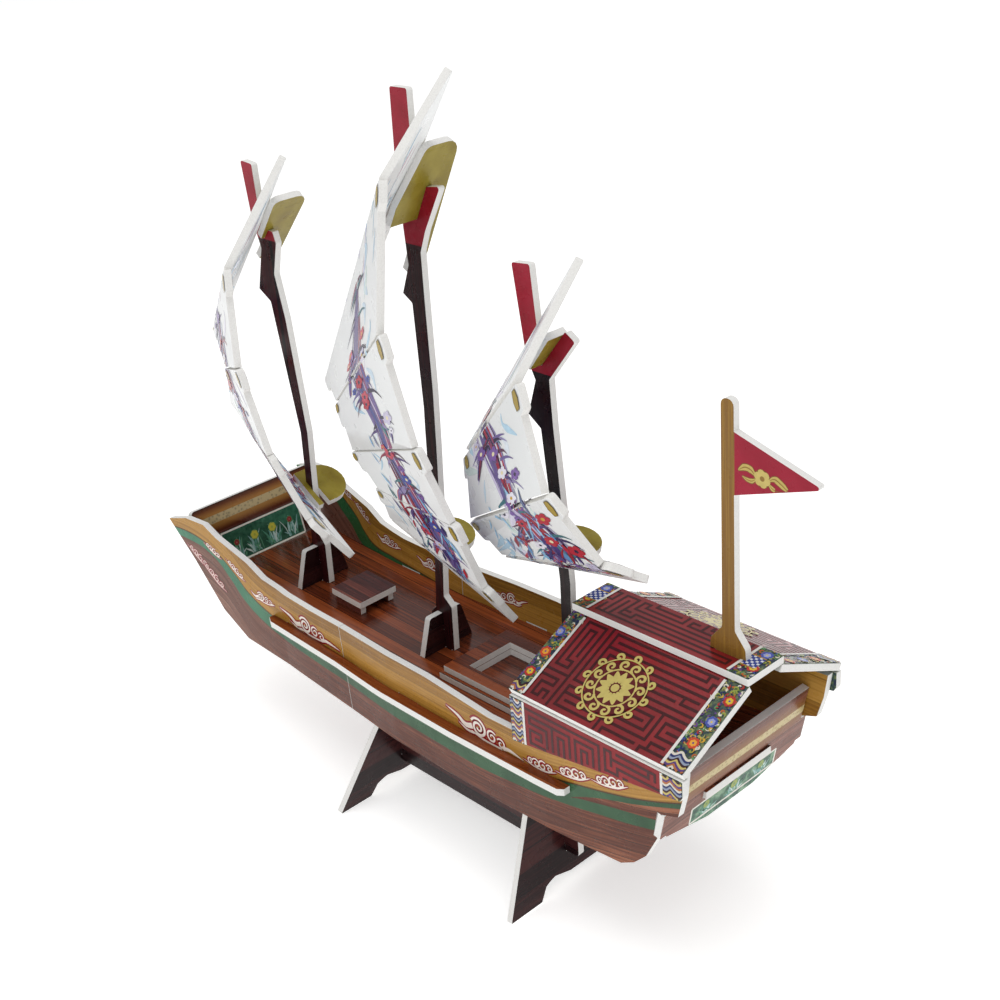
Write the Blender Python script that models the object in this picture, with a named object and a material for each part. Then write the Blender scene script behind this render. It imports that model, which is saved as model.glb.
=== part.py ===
"""A printed foam-board model of a three-masted sailing junk on its stand.

Every piece is a flat board of one thickness, die-cut, slotted and tabbed into its neighbours.
Lengths in the tables are millimetres in a drawing frame with the main mast at x = 0.
+X is the bow, +Y is port, +Z is up.
"""
import bpy
import bmesh
import math
from mathutils import Matrix, Vector

MM = 0.001
BOARD_T = 2.5           # thickness of the foam board
SLIP = 0.1              # gap left between two boards that touch
SLOT_HALF = 0.5 * BOARD_T + SLIP    # half-width of a slot that takes one board
SHIFT_X = 16.56         # drawing frame to part frame, along x
SHIFT_Z = -13.29        # drawing frame to part frame, ground to z = 0
WIDTH_Z = 80.0          # height at which the hull's width table holds
FLARE = 0.04            # outward lean of the hull sides per mm of height

# x, outer half-width of the hull at WIDTH_Z
HULL_WIDTH = [(-150, 33.95), (-80, 33.95), (-40, 33.0), (-5, 32.2), (22, 30.5), (60, 29.6), (125, 31.8)]
# x, height of the deck's upper face
DECK_TOP = [(-135, 75.6), (-66, 66.8), (0, 66.8), (107, 70.5)]
# x, height of the rubbing strake's upper face
STRAKE_TOP = [(-92, 69.3), (-40, 67.2), (0, 66.9), (64, 69.0)]

for item in list(bpy.data.objects):
    bpy.data.objects.remove(item, do_unlink=True)

junk = bpy.data.collections.new("sailing_junk_model")
cutters = bpy.data.collections.new("cutters")
for group in (junk, cutters):
    bpy.context.scene.collection.children.link(group)


def table(rows, x):
    """Straight-line look-up in a table of (x, value) rows."""
    if x <= rows[0][0]:
        return rows[0][1]
    for (x0, v0), (x1, v1) in zip(rows, rows[1:]):
        if x <= x1:
            return v0 + (v1 - v0) * (x - x0) / (x1 - x0)
    return rows[-1][1]


def material(name, rgb, rough):
    mat = bpy.data.materials.new(name)
    mat.use_nodes = True
    shader = mat.node_tree.nodes["Principled BSDF"]
    shader.inputs["Base Color"].default_value = (rgb[0], rgb[1], rgb[2], 1.0)
    shader.inputs["Roughness"].default_value = rough
    return mat


def fillet(corners, steps=4):
    """Outline from (u, v) or (u, v, radius) corners, with arcs at the rounded ones."""
    out = []
    n = len(corners)
    for i, c in enumerate(corners):
        p = Vector((c[0], c[1]))
        if len(c) == 2 or c[2] <= 0:
            out.append(p)
            continue
        a = Vector(corners[i - 1][:2]) - p
        b = Vector(corners[(i + 1) % n][:2]) - p
        la, lb = a.length, b.length
        a.normalize()
        b.normalize()
        half = 0.5 * math.acos(max(-1.0, min(1.0, a.dot(b))))
        back = min(c[2] / math.tan(half), 0.48 * la, 0.48 * lb)
        r = back * math.tan(half)
        centre = p + (a + b).normalized() * (r / math.sin(half))
        s = p + a * back - centre
        e = p + b * back - centre
        turn = math.atan2(s.x * e.y - s.y * e.x, s.dot(e))
        for k in range(steps + 1):
            ang = turn * k / steps
            ca, sa = math.cos(ang), math.sin(ang)
            out.append(centre + Vector((s.x * ca - s.y * sa, s.x * sa + s.y * ca)))
    return out


def plane(origin, u, v):
    """Placement of a board: its outline runs along u and v from the origin."""
    u = Vector(u).normalized()
    v = Vector(v).normalized()
    w = u.cross(v).normalized()
    o = Vector((origin[0] + SHIFT_X, origin[1], origin[2] + SHIFT_Z)) * MM
    return Matrix(((u.x, v.x, w.x, o.x), (u.y, v.y, w.y, o.y), (u.z, v.z, w.z, o.z), (0, 0, 0, 1)))


def board(name, outline, place, mat=None, holes=(), thick=BOARD_T):
    """A flat board: a filled 2D curve given thickness, made a mesh and put in its place.

    A board without a material is a cutter.
    """
    curve = bpy.data.curves.new(name + "_outline", "CURVE")
    curve.dimensions = "2D"
    curve.fill_mode = "BOTH"
    curve.extrude = 0.5 * thick * MM
    for loop in [outline] + list(holes):
        spline = curve.splines.new("POLY")
        spline.points.add(len(loop) - 1)
        spline.use_cyclic_u = True
        for point, p in zip(spline.points, loop):
            point.co = (p[0] * MM, p[1] * MM, 0.0, 1.0)
    draft = bpy.data.objects.new(name + "_draft", curve)
    cutters.objects.link(draft)
    deps = bpy.context.evaluated_depsgraph_get()
    mesh = bpy.data.meshes.new_from_object(draft.evaluated_get(deps))
    bpy.data.objects.remove(draft, do_unlink=True)
    bm = bmesh.new()
    bm.from_mesh(mesh)
    bmesh.ops.remove_doubles(bm, verts=bm.verts, dist=1e-6)
    bmesh.ops.recalc_face_normals(bm, faces=bm.faces)
    bm.to_mesh(mesh)
    bm.free()
    mesh.name = name
    mesh.materials.clear()
    obj = bpy.data.objects.new(name, mesh)
    obj.matrix_world = place
    if mat is None:
        cutters.objects.link(obj)
        obj.hide_render = True
        obj.display_type = "WIRE"
    else:
        mesh.materials.append(mat)
        junk.objects.link(obj)
    return obj


def cut(target, tools):
    """Subtract the cutters from a board with exact Booleans and apply them."""
    for tool in tools:
        mod = target.modifiers.new("cut_" + tool.name, "BOOLEAN")
        mod.operation = "DIFFERENCE"
        mod.solver = "EXACT"
        mod.object = tool
    deps = bpy.context.evaluated_depsgraph_get()
    mesh = bpy.data.meshes.new_from_object(target.evaluated_get(deps))
    target.modifiers.clear()
    old = target.data
    target.data = mesh
    mesh.name = old.name


def bend(obj, stations, shift):
    """Crease a board across x at the stations and move each vertex by shift(x, z)."""
    bm = bmesh.new()
    bm.from_mesh(obj.data)
    bm.transform(obj.matrix_world)
    for x in stations:
        geom = bm.verts[:] + bm.edges[:] + bm.faces[:]
        at = ((x + SHIFT_X) * MM, 0, 0)
        bmesh.ops.bisect_plane(bm, geom=geom, plane_co=at, plane_no=(1, 0, 0), dist=1e-7)
    for v in bm.verts:
        dy, dz = shift(v.co.x / MM - SHIFT_X, v.co.z / MM - SHIFT_Z)
        v.co.y += dy * MM
        v.co.z += dz * MM
    bmesh.ops.triangulate(bm, faces=[f for f in bm.faces if len(f.verts) > 4])
    bm.transform(obj.matrix_world.inverted())
    bm.to_mesh(obj.data)
    bm.free()


def side_view(y):
    return plane((0, y, 0), (1, 0, 0), (0, 0, 1))


def outer(x, z):
    """Half-width of the hull's outer face at x and height z."""
    return table(HULL_WIDTH, x) + FLARE * (z - WIDTH_Z)


hull_print = material("printed_hull_board", (0.28, 0.13, 0.07), 0.4)
deck_print = material("printed_deck_board", (0.2, 0.06, 0.03), 0.4)
roof_print = material("printed_roof_board", (0.21, 0.02, 0.03), 0.4)
mast_print = material("printed_mast_board", (0.03, 0.012, 0.013), 0.45)
sail_print = material("printed_sail_board", (0.82, 0.82, 0.85), 0.35)
gold_print = material("printed_gold_board", (0.33, 0.25, 0.05), 0.4)
flag_print = material("printed_flag_board", (0.36, 0.02, 0.05), 0.4)

# Hull side boards, two to a side, creased to the hull's width table
AFT_SIDE = [(22.0, 45.2), (22.0, 80.2), (-25.6, 80.4), (-56.4, 78.2), (-70, 78.9), (-100, 84.5),
            (-131, 94.6), (-138.3, 95.1), (-137.2, 87.0), (-135.0, 79.3), (-128.9, 77.1), (-126.5, 67.2),
            (-121.6, 58.0), (-116.5, 52.8), (-111, 49.6), (-86, 47.2), (-58, 45.3), (-30, 44.4), (0, 44.4)]
BOW_SIDE = [(22.2, 45.2), (53.2, 47.6), (84.5, 50.8), (97.6, 59.2), (111, 77.2), (123.7, 91.6),
            (111.7, 95.3), (100.3, 95.8), (93.2, 92.2), (75.9, 87.2), (67.9, 83.0), (54.3, 80.8),
            (39.6, 80.2), (22.2, 80.2)]
WIDTH_STATIONS = [x for x, w in HULL_WIDTH[1:-1]]

# Stern board: leans aft, its ears sit in notches in the sides' ends and the deck's tab passes through it
STERN_FOOT = (-127.6, 0, 73.0)
STERN_UP = (-0.216, 0, 1)
stern_place = plane(STERN_FOOT, (0, 1, 0), STERN_UP)


def mirror_outline(half):
    """Closed outline from the +u half of a symmetric one.

    The 5 micron step between the halves keeps the curve fill from failing.
    """
    return list(half) + [(-p[0], p[1] + 0.005) + tuple(p[2:]) for p in reversed(half)]


EAR_LOW, EAR_HIGH, EAR_OUT = -5.5, 3.9, 33.6
stern_outline = mirror_outline([(11.0, -11.0), (30.6, -6.4), (30.9, EAR_LOW), (EAR_OUT, EAR_LOW),
                                (EAR_OUT, EAR_HIGH), (30.9, EAR_HIGH), (31.2, 16.6)])
stern_ear_tools = {}
for side in (-1, 1):
    low, high = EAR_LOW - SLIP, EAR_HIGH + SLIP
    loop = [(side * 28.0, low), (side * 38.0, low), (side * 38.0, high), (side * 28.0, high)]
    stern_ear_tools[side] = board("stern_ear_%d" % side, loop, stern_place, thick=BOARD_T + 2 * SLIP)

# Rubbing strakes: narrow boards along both sides, each on three tabs through the hull side
STRAKE_TABS = [(-72, -62), (-20, -10), (46, 56)]
STRAKE_STATIONS = [-80, -40, -5, 0, 22, 60]
STRAKE_AFT, STRAKE_FORE = -92, 64
STRAKE_OUT = 3.9
TAB_REACH = 2.35        # how far a tab enters the side board


def strake_edge(side, x, extra):
    """A point of a strake's outline, extra outside the hull's outer face."""
    return (x, side * (outer(x, table(STRAKE_TOP, x)) + extra))


def strake_outline(side):
    """Inner edge with its tabs from aft to bow, then the outer edge back again."""
    inner = [(STRAKE_AFT, SLIP), (STRAKE_FORE, SLIP)]
    inner += [(x, SLIP) for x in STRAKE_STATIONS]
    for x0, x1 in STRAKE_TABS:
        inner = [(x, extra) for x, extra in inner if not x0 <= x <= x1]
        inner += [(x0, SLIP), (x0 + 0.001, -TAB_REACH), (x1 - 0.001, -TAB_REACH), (x1, SLIP)]
    outline = [strake_edge(side, x, extra) for x, extra in sorted(inner)]
    outline += [strake_edge(side, STRAKE_FORE, 2.2), strake_edge(side, 61, STRAKE_OUT)]
    outline += [strake_edge(side, x, STRAKE_OUT) for x in (60, 22, -5, -40, -80, -90)]
    return outline + [strake_edge(side, STRAKE_AFT, 2.6)]


def strake_hole(label, side, x0, x1):
    """The cutter for one strake tab's slot in the hull side."""
    middle = 0.5 * (x0 + x1)
    half = 0.5 * (x1 - x0) + SLIP
    rise_here = math.atan2(table(STRAKE_TOP, x1) - table(STRAKE_TOP, x0), x1 - x0)
    place = plane((middle, 0, table(STRAKE_TOP, middle) - 0.5 * BOARD_T),
                  (math.cos(rise_here), 0, math.sin(rise_here)), (0, 1, 0))
    loop = [(-half, 25 * side), (half, 25 * side), (half, 40 * side), (-half, 40 * side)]
    return board("%s_strake_hole_%d" % (label, x0), loop, place, thick=BOARD_T + 0.25)


for side, label in ((1, "port"), (-1, "starboard")):
    holes = [strake_hole(label, side, x0, x1) for x0, x1 in STRAKE_TABS]
    for part_name, loop, tools in (("side_aft", AFT_SIDE, holes[:2] + [stern_ear_tools[side]]),
                                   ("side_bow", BOW_SIDE, holes[2:])):
        obj = board("%s_%s" % (label, part_name), loop, side_view(side * -0.5 * BOARD_T), hull_print)
        bend(obj, WIDTH_STATIONS, lambda x, z: (side * outer(x, z), 0.0))
        cut(obj, tools)
    flat = plane((0, 0, -0.5 * BOARD_T), (1, 0, 0), (0, 1, 0))
    strake = board(label + "_strake", strake_outline(side), flat, hull_print)
    bend(strake, [-40, 0], lambda x, z: (0.0, table(STRAKE_TOP, x)))

# Deck: one board from bow to stern, creased where it rises under the cabin
INNER_DROP = BOARD_T + 0.15 + FLARE * (WIDTH_Z - 66.8)
STERN_TAB = 15.4        # half-width of the deck's tab through the stern board
deck_half = [(-130.0, STERN_TAB), (-124.9, STERN_TAB)]
deck_half += [(x, table(HULL_WIDTH, x) - INNER_DROP) for x in (-124.8, -80, -66, -40, -5, 0, 22, 60, 106.4)]
deck_outline = deck_half + [(x, -y) for x, y in reversed(deck_half)]
mast_holes = []
for x0, x1 in ((-3.2, 3.8), (67.6, 74.4), (-65.0, -58.5)):
    mast_holes.append([(x0 - SLIP, -SLOT_HALF), (x1 + SLIP, -SLOT_HALF),
                       (x1 + SLIP, SLOT_HALF), (x0 - SLIP, SLOT_HALF)])
deck_flat = plane((0, 0, -0.5 * BOARD_T), (1, 0, 0), (0, 1, 0))
deck = board("deck", deck_outline, deck_flat, deck_print, holes=mast_holes)
bend(deck, [-66, 0], lambda x, z: (0.0, table(DECK_TOP, x)))

(aft_x, aft_z), (cabin_x, cabin_z) = DECK_TOP[:2]
deck_fall = (aft_z - cabin_z) / (aft_x - cabin_x)
STERN_CROSS = -128.4    # where the deck's tab crosses the stern board
tab_half = STERN_TAB + SLIP
deck_tab_tool = board("deck_tab", [(-8, -tab_half), (8, -tab_half), (8, tab_half), (-8, tab_half)],
                      plane((STERN_CROSS, 0, table(DECK_TOP, STERN_CROSS) - 0.5 * BOARD_T),
                            (1.0, 0, deck_fall), (0, 1, 0)), thick=BOARD_T + 0.3)
stern = board("stern_board", stern_outline, stern_place, hull_print)
cut(stern, [deck_tab_tool])

# Bow board above the deck and the raked bow plate under it
bow_place = plane((107.9, 0, 68.5), (0, 1, 0), (0.264, 0, 1))
bow_outline = mirror_outline([(26.9, 0.6), (28.3, 27.4, 1.5)])
board("bow_board", fillet(bow_outline), bow_place, hull_print)
plate_place = plane((93.0, 0, 57.5), (0, 1, 0), (0.66, 0, 1))
board("bow_plate", mirror_outline([(26.4, -6.0), (26.9, 11.2)]), plate_place, hull_print)

# Stand: two splayed cross boards with a window for each rail tab; their tops are ribs inside the hull
STAND_LEAN = 0.17
STAND_Y = 17.0
STAND_FOOT_Z = 13.5
STAND = [("stand_aft", -73.6, 1, 31.2, 45.35, 29.2), ("stand_fore", 13.8, -1, 29.4, 44.3, 26.9)]
for name, foot_x, sign, shoulder_y, shoulder_z, rib_y in STAND:
    lean = Vector((sign * STAND_LEAN, 0, 1)).normalized()
    up = 1.0 / lean.z
    shoulder = (shoulder_z - STAND_FOOT_Z - 0.15) * up
    deck_under = table(DECK_TOP, foot_x + sign * STAND_LEAN * 51) - BOARD_T
    top = (deck_under - 0.35 - STAND_FOOT_Z) * up
    half = [(18, 3.9), (25, 5.6, 2.0), (29.2, 4.4, 1.0), (31.5, 1.2, 1.0), (32.4, 0), (46.5, 0),
            (shoulder_y, shoulder), (rib_y, shoulder), (rib_y, top)]
    windows = []
    for y in (-STAND_Y, STAND_Y):
        windows.append([(y - SLOT_HALF, 11.5), (y + SLOT_HALF, 11.5), (y + SLOT_HALF, 19.9),
                        (y - SLOT_HALF, 19.9)])
    place = plane((foot_x, 0, STAND_FOOT_Z), (0, 1, 0), lean)
    board(name, fillet(mirror_outline(half)), place, mast_print, holes=windows)


def stand_face(foot_x, sign, z, gap):
    """x of the inner face of a splayed cross board at height z."""
    return foot_x + sign * (STAND_LEAN * (z - STAND_FOOT_Z) + 1.268 + gap)


rail_loop = []
for foot_x, sign, tip in ((-73.6, 1, -78.4), (13.8, -1, 18.4)):
    inner = [(stand_face(foot_x, sign, z, 0.12), z) for z in (22.6, 25.2, 32.8, 63.9)]
    ends = inner[:2] + [(tip, 25.2, 1.5), (tip, 32.8, 1.5)] + inner[2:]
    rail_loop += ends if sign == 1 else ends[::-1]
for side, name in ((1, "port_stand_rail"), (-1, "starboard_stand_rail")):
    board(name, fillet(rail_loop), side_view(side * STAND_Y), mast_print)

# Cabin roof: two walls outside the hull sides, two slopes on them and a flat top over both
ROOF_AFT = -139.6
ROOF_FORE = -71.7
WALL_Y = 35.9
EAVE = Vector((37.2, 97.6))
RIDGE = Vector((7.5, 111.6))
slope_len = (RIDGE - EAVE).length
rise = (RIDGE - EAVE).normalized()
wall_loop = [(ROOF_FORE, 78.5), (ROOF_FORE, 95.2), (ROOF_AFT, 95.2), (ROOF_AFT, 90.0), (-138.6, 88.3)]
slope_loop = [(ROOF_AFT, 0), (ROOF_FORE, 0), (ROOF_FORE, slope_len), (ROOF_AFT, slope_len)]
for side, label in ((1, "port"), (-1, "starboard")):
    board(label + "_wall", wall_loop, side_view(side * WALL_Y), roof_print)
    half_t = 0.5 * BOARD_T
    place = plane((0, side * (EAVE.x - half_t * rise.y), EAVE.y + half_t * rise.x), (1, 0, 0),
                  (0, side * rise.x, rise.y))
    board(label + "_roof_slope", slope_loop, place, roof_print)
FLAG_SLOT = [(-131.3, -SLOT_HALF), (-122.5, -SLOT_HALF), (-122.5, SLOT_HALF), (-131.3, SLOT_HALF)]
top_loop = [(ROOF_AFT, -8.3), (ROOF_FORE, -8.3), (ROOF_FORE, 8.3), (ROOF_AFT, 8.3)]
board("roof_top", top_loop, plane((0, 0, 112.95), (1, 0, 0), (0, 1, 0)), roof_print, holes=[FLAG_SLOT])

# Flagpole and pennant, one board with a tenon through the roof top
flag_loop = [(-131.2, 110.4), (-122.6, 110.4), (-122.6, 114.3), (-120.4, 114.3), (-120.7, 117.8, 2.5),
             (-124.8, 122.6, 2), (-124.9, 193.5, 2.0), (-129.3, 193.5, 2.0), (-129.3, 184.4),
             (-158.4, 175.6, 0.7), (-129.3, 165.6), (-129.4, 122.6, 2), (-133.2, 117.8, 2.5),
             (-133.4, 114.3), (-131.2, 114.3)]
board("flag", fillet(flag_loop), side_view(0), flag_print)

# Hatch: a wide frame with a narrower coaming frame on it
WAIST_Z = 66.8          # height of the level deck amidships
hatch_hole = [(-21.9, -9.8), (-21.9, 9.8), (-46.0, 9.8), (-46.0, -9.8)]
for name, half, layer, x0, x1 in (("hatch_frame", 16.6, 0, -13.8, -54.0),
                                  ("hatch_coaming", 15.3, 1, -14.9, -53.0)):
    loop = [(x0, -half), (x0, half), (x1, half), (x1, -half)]
    place = plane((0, 0, WAIST_Z + SLIP + 0.5 * BOARD_T + layer * (BOARD_T + SLIP)), (1, 0, 0), (0, 1, 0))
    board(name, loop, place, deck_print, holes=[hatch_hole])

# Bench: a plate on two legs cut to the slope of the deck
BENCH = (38.0, 55.0)
deck_slope = math.atan2(3.7, 107.0)
bench_mid = 0.5 * (BENCH[0] + BENCH[1])
bench_at = (bench_mid, 0, table(DECK_TOP, bench_mid))
along = (math.cos(deck_slope), 0, math.sin(deck_slope))
for side, name in ((1, "bench_leg_port"), (-1, "bench_leg_starboard")):
    place = plane((bench_mid, side * 6.6, bench_at[2]), along, (-along[2], 0, along[0]))
    board(name, [(-7.4, 0.1), (7.4, 0.1), (7.4, 3.4), (-7.4, 3.4)], place, deck_print)
board("bench_plate", fillet([(-8.5, -8.7, 0.6), (8.5, -8.7, 0.6), (8.5, 8.7, 0.6), (-8.5, 8.7, 0.6)]),
      plane((bench_mid - 4.75 * along[2], 0, bench_at[2] + 4.75 * along[0]), along, (0, 1, 0)), deck_print)

# Masts: outlines in side view, forked at the head, forward edge first and then down the aft edge
MAIN_MAST = [(3.8, 64.4), (3.8, 67.1), (6.2, 67.1), (5.8, 79.6, 0.8), (3.2, 82.2), (1.6, 99.4),
             (-0.4, 150.7), (-0.8, 158.4), (-0.2, 195.0, 1), (3.9, 197.6), (-0.2, 207.6), (0.5, 218.8),
             (1.4, 239.5), (0.6, 263.2, 0.8), (-7.3, 263.3, 0.8), (-6.9, 229.9), (-4.1, 224.45),
             (-6.5, 223.2), (-12.3, 234.3, 0.5), (-18.7, 235.2, 0.8), (-9.9, 220.1), (-6.8, 212.8),
             (-6.5, 197.2), (-6.3, 166.2), (-5.4, 146.5), (-2.7, 99.8), (-1.6, 88.0), (-5.3, 84.7, 0.8),
             (-4.6, 67.02), (-3.2, 67.02), (-3.2, 64.42)]
FORE_MAST = [(74.4, 67.0), (74.4, 69.6), (77.0, 69.75), (76.6, 82.0, 0.8), (74.0, 84.6), (72.4, 113.5),
             (71.7, 131.0), (79.1, 180.1, 1), (85.1, 183.8), (80.3, 199.5), (83.5, 209.6),
             (85.7, 230.1, 0.8), (79.3, 229.5, 0.8), (78.4, 206.6), (79.5, 205.4), (77.5, 203.6),
             (74.7, 206.8, 0.3), (72.2, 206.7, 0.3), (71.0, 202.7), (74.6, 191.0), (71.5, 175.0),
             (67.5, 132.1), (68.6, 113.6), (69.6, 90.6), (65.8, 86.0, 0.8), (66.3, 69.35), (67.6, 69.4),
             (67.6, 67.0)]
MIZZEN_MAST = [(-58.5, 64.4), (-58.5, 67.0), (-56.2, 67.0), (-56.6, 79.6, 0.8), (-59.2, 82.2),
               (-59.9, 115.0), (-55.6, 166.0, 1), (-50.6, 169.6), (-54.6, 181.5), (-51.2, 188.5),
               (-47.5, 216.9, 0.8), (-55.0, 217.6, 0.8), (-57.2, 190.65), (-55.5, 188.5), (-57.6, 186.8),
               (-68.1, 199.6, 0.5), (-71.9, 197.1, 0.8), (-60.4, 182.9), (-60.9, 168.0), (-64.4, 115.0),
               (-63.6, 88.0), (-67.3, 84.7, 0.8), (-66.4, 67.02), (-65.0, 67.02), (-65.0, 64.42)]

# Sails: fans of flat panels. Per sail: the fan's apex, the points of its outer edge from the top down,
# and for each crease the share of the way out from the apex at which its inner end lies.
SAILS = {
    "main_sail": ((85.2, -12.0, 115.3),
                  [(-31.7, 2.9, 272.0), (-21.7, 24.0, 242.3), (-21.0, 30.0, 197.5), (-32.0, 30.0, 164.0),
                   (-38.9, 24.0, 138.4), (-39.7, 13.8, 111.5), (-41.3, 2.6, 94.6)],
                  [None, 0.34, 0.49, 0.50, 0.555, 0.52, None]),
    "mizzen_sail": ((32.0, -14.0, 93.7),
                    [(-80.3, 2.9, 225.6), (-70.2, 22.0, 190.7), (-81.1, 24.0, 160.8), (-91.4, 13.4, 137.6),
                     (-100.5, 3.2, 131.4)],
                    [None, 0.62, 0.54, 0.55, None]),
    "fore_sail": ((146.3, -12.0, 136.6),
                  [(53.8, 2.9, 237.1), (70.0, 22.0, 198.6), (62.3, 28.0, 167.2), (56.8, 24.0, 134.7),
                   (52.4, 14.6, 107.2), (44.1, 2.8, 89.1)],
                  [None, 0.45, 0.70, 0.42, 0.49, None]),
}
TAB_OUT = 3.2
TAB_LONG = 8.0


def flat_coords(points, origin, u, v):
    return [((p - origin).dot(u), (p - origin).dot(v)) for p in points]


def sail_panels(name, apex, near, share):
    """Cut the fan into flat panels, each with a small tab at both ends of its upper crease."""
    apex = Vector(apex)
    near = [Vector(p) for p in near]
    far = [None if s is None else apex + (p - apex) * s for p, s in zip(near, share)]
    planes = []
    last = len(near) - 2
    for k in range(last + 1):
        a, b = near[k], near[k + 1]
        normal = (a - apex).cross(b - apex).normalized()
        if normal.y < 0:
            normal = -normal
        down = (b - a).normalized()
        out0 = (a - apex).normalized()
        out1 = (b - apex).normalized()
        in0 = (down - out0 * down.dot(out0)).normalized() * SLIP
        in1 = -(down - out1 * down.dot(out1)).normalized() * SLIP
        if k == 0:
            corners = [(a, 0.8), (b + in1, 0), (far[1] + in1, 0)]
        elif k == last:
            edge = (b - far[k]).normalized()
            corners = [(far[k] + in0 - out0 * TAB_OUT, 1.0), (a + in0 + out0 * TAB_OUT, 1.0),
                       (a + down * TAB_LONG + out0 * TAB_OUT, 1.0), (a + down * (TAB_LONG + 0.6), 0),
                       (b, 0.8), (far[k] + edge * (TAB_LONG + 0.6), 0),
                       (far[k] + edge * TAB_LONG - out0 * TAB_OUT, 1.0)]
        else:
            luff = (far[k + 1] - far[k]).normalized()
            room = min(TAB_LONG, 0.55 * (far[k + 1] - far[k]).length)
            corners = [(far[k] + in0 - out0 * TAB_OUT, 1.0), (a + in0 + out0 * TAB_OUT, 1.0),
                       (a + down * TAB_LONG + out0 * TAB_OUT, 1.0), (a + down * (TAB_LONG + 0.6), 0),
                       (b + in1, 0), (far[k + 1] + in1, 0), (far[k] + luff * (room + 0.6), 0),
                       (far[k] + luff * room - out0 * TAB_OUT, 1.0)]
        u = out0
        v = normal.cross(u)
        flat = flat_coords([point for point, radius in corners], a, u, v)
        loop = [(p[0], p[1], radius) for p, (point, radius) in zip(flat, corners)]
        place = plane(a + normal * (0.5 * BOARD_T), u, v)
        board("%s_panel_%d" % (name, k + 1), fillet(loop, 3), place, sail_print)
        planes.append((a, normal))
    return planes


def port_reach(planes, origin, v, w, reach):
    """How far to port a board can run at w before it meets the inner face of the sail."""
    best = reach
    face = Vector((0, 1, 0)).cross(v)
    for half in (-0.5 * BOARD_T, 0.5 * BOARD_T):
        base = origin + v * w + face * half
        for point, normal in planes:
            best = min(best, -normal.dot(base - point) / normal.y - SLIP / normal.y)
    return best


# Gold boards: an upper one standing in the fork and a lower one lapped into the mast, both met by the sail
# Columns: rig, mast outline, bracket top, fork, tilt of the upper board in degrees, its low end, high end
# and starboard edge, lap of the lower board, its dip in degrees and its end radius
RIGS = [
    ("main", MAIN_MAST, (1.1, 80.9), (-5.3, 223.82), 27.6, (-22.0, 28.0, -8.0), (-1.0, 109.4), 16.8, 8.5),
    ("fore", FORE_MAST, (71.6, 84.0), (78.5, 204.5), 42.0, (-13.0, 20.6, -10.0), (70.6, 107.8), 30.5, 8.5),
    ("mizzen", MIZZEN_MAST, (-61.3, 80.9), (-56.55, 187.67), 39.4, (0.0, 15.0, -1.2), (-62.0, 126.3), 12.0,
     8.0),
]
for rig, mast_loop, foot, fork, tilt, (low, high, stbd), lap, dip, r in RIGS:
    apex, near, share = SAILS[rig + "_sail"]
    planes = sail_panels(rig + "_sail", apex, near, share)
    mast = board(rig + "_mast", fillet(mast_loop, 3), side_view(0), mast_print)
    tilt = math.radians(tilt)
    up = Vector((-math.sin(tilt), 0, math.cos(tilt)))
    origin = Vector((fork[0], 0, fork[1]))
    w_rows = [0.12 + (high - 0.12) * i / 4 for i in range(5)]
    port_edge = [(port_reach(planes, origin, up, w, 12.0), w) for w in w_rows]
    if low < 0:
        port_edge[-1] = (port_edge[-1][0], high, 3.0)
        beside = -SLOT_HALF - 0.05
        loop = [(beside, low), (beside, 0.12)] + port_edge + [(stbd, high, 5.0), (stbd, low, 0.6)]
    else:
        loop = port_edge + [(stbd, high), (stbd, 0.12)]
    board(rig + "_gold_upper", fillet(loop), plane(origin, (0, 1, 0), up), gold_print)
    dip = math.radians(dip)
    aft = Vector((-math.cos(dip), 0, -math.sin(dip)))
    origin = Vector((lap[0], 0, lap[1]))
    w_rows = [r - 2 * r * i / 6 for i in range(7)]
    port_edge = [(port_reach(planes, origin, aft, w, 6.0), w) for w in w_rows]
    arc = [(-5.0 - r * math.cos(math.radians(a)), r * math.sin(math.radians(a))) for a in range(-90, 91, 15)]
    slot = [(-SLOT_HALF, r), (-SLOT_HALF, 0.06), (SLOT_HALF, 0.06), (SLOT_HALF, r)]
    place = plane(origin, (0, 1, 0), aft)
    if port_edge[0][0] > SLOT_HALF + 0.6:
        loop = arc + slot + port_edge
    else:
        loop = arc + [(-SLOT_HALF, r), (-SLOT_HALF, 0.06)] + [p for p in port_edge if p[1] < 0.0]
    board(rig + "_gold_lower", loop, place, gold_print)
    notch = board(rig + "_notch", [(-4, -14), (4, -14), (4, 0.16), (-4, 0.16)], place, thick=2 * SLOT_HALF)
    # Foot bracket across the mast, lapped half and half
    z0 = table(DECK_TOP, foot[0]) + 0.12
    step = plane((foot[0], 0, z0), (0, 1, 0), (0, 0, 1))
    h = foot[1] - z0
    mid = 0.5 * h
    loop = [(SLOT_HALF, h), (7.2, h, 1.2), (11.4, 0), (-11.4, 0), (-7.2, h, 1.2), (-SLOT_HALF, h),
            (-SLOT_HALF, mid), (SLOT_HALF, mid)]
    board(rig + "_foot_bracket", fillet(loop), step, mast_print)
    lap_tool = board(rig + "_foot_notch", [(-4, -8), (4, -8), (4, mid + SLIP), (-4, mid + SLIP)], step,
                     thick=2 * SLOT_HALF)
    cut(mast, [notch, lap_tool])
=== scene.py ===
"""A foam-board model junk: printed boards slotted together, on the stand it is built with."""
import math
import random
import bpy
from mathutils import Matrix, Vector


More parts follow.
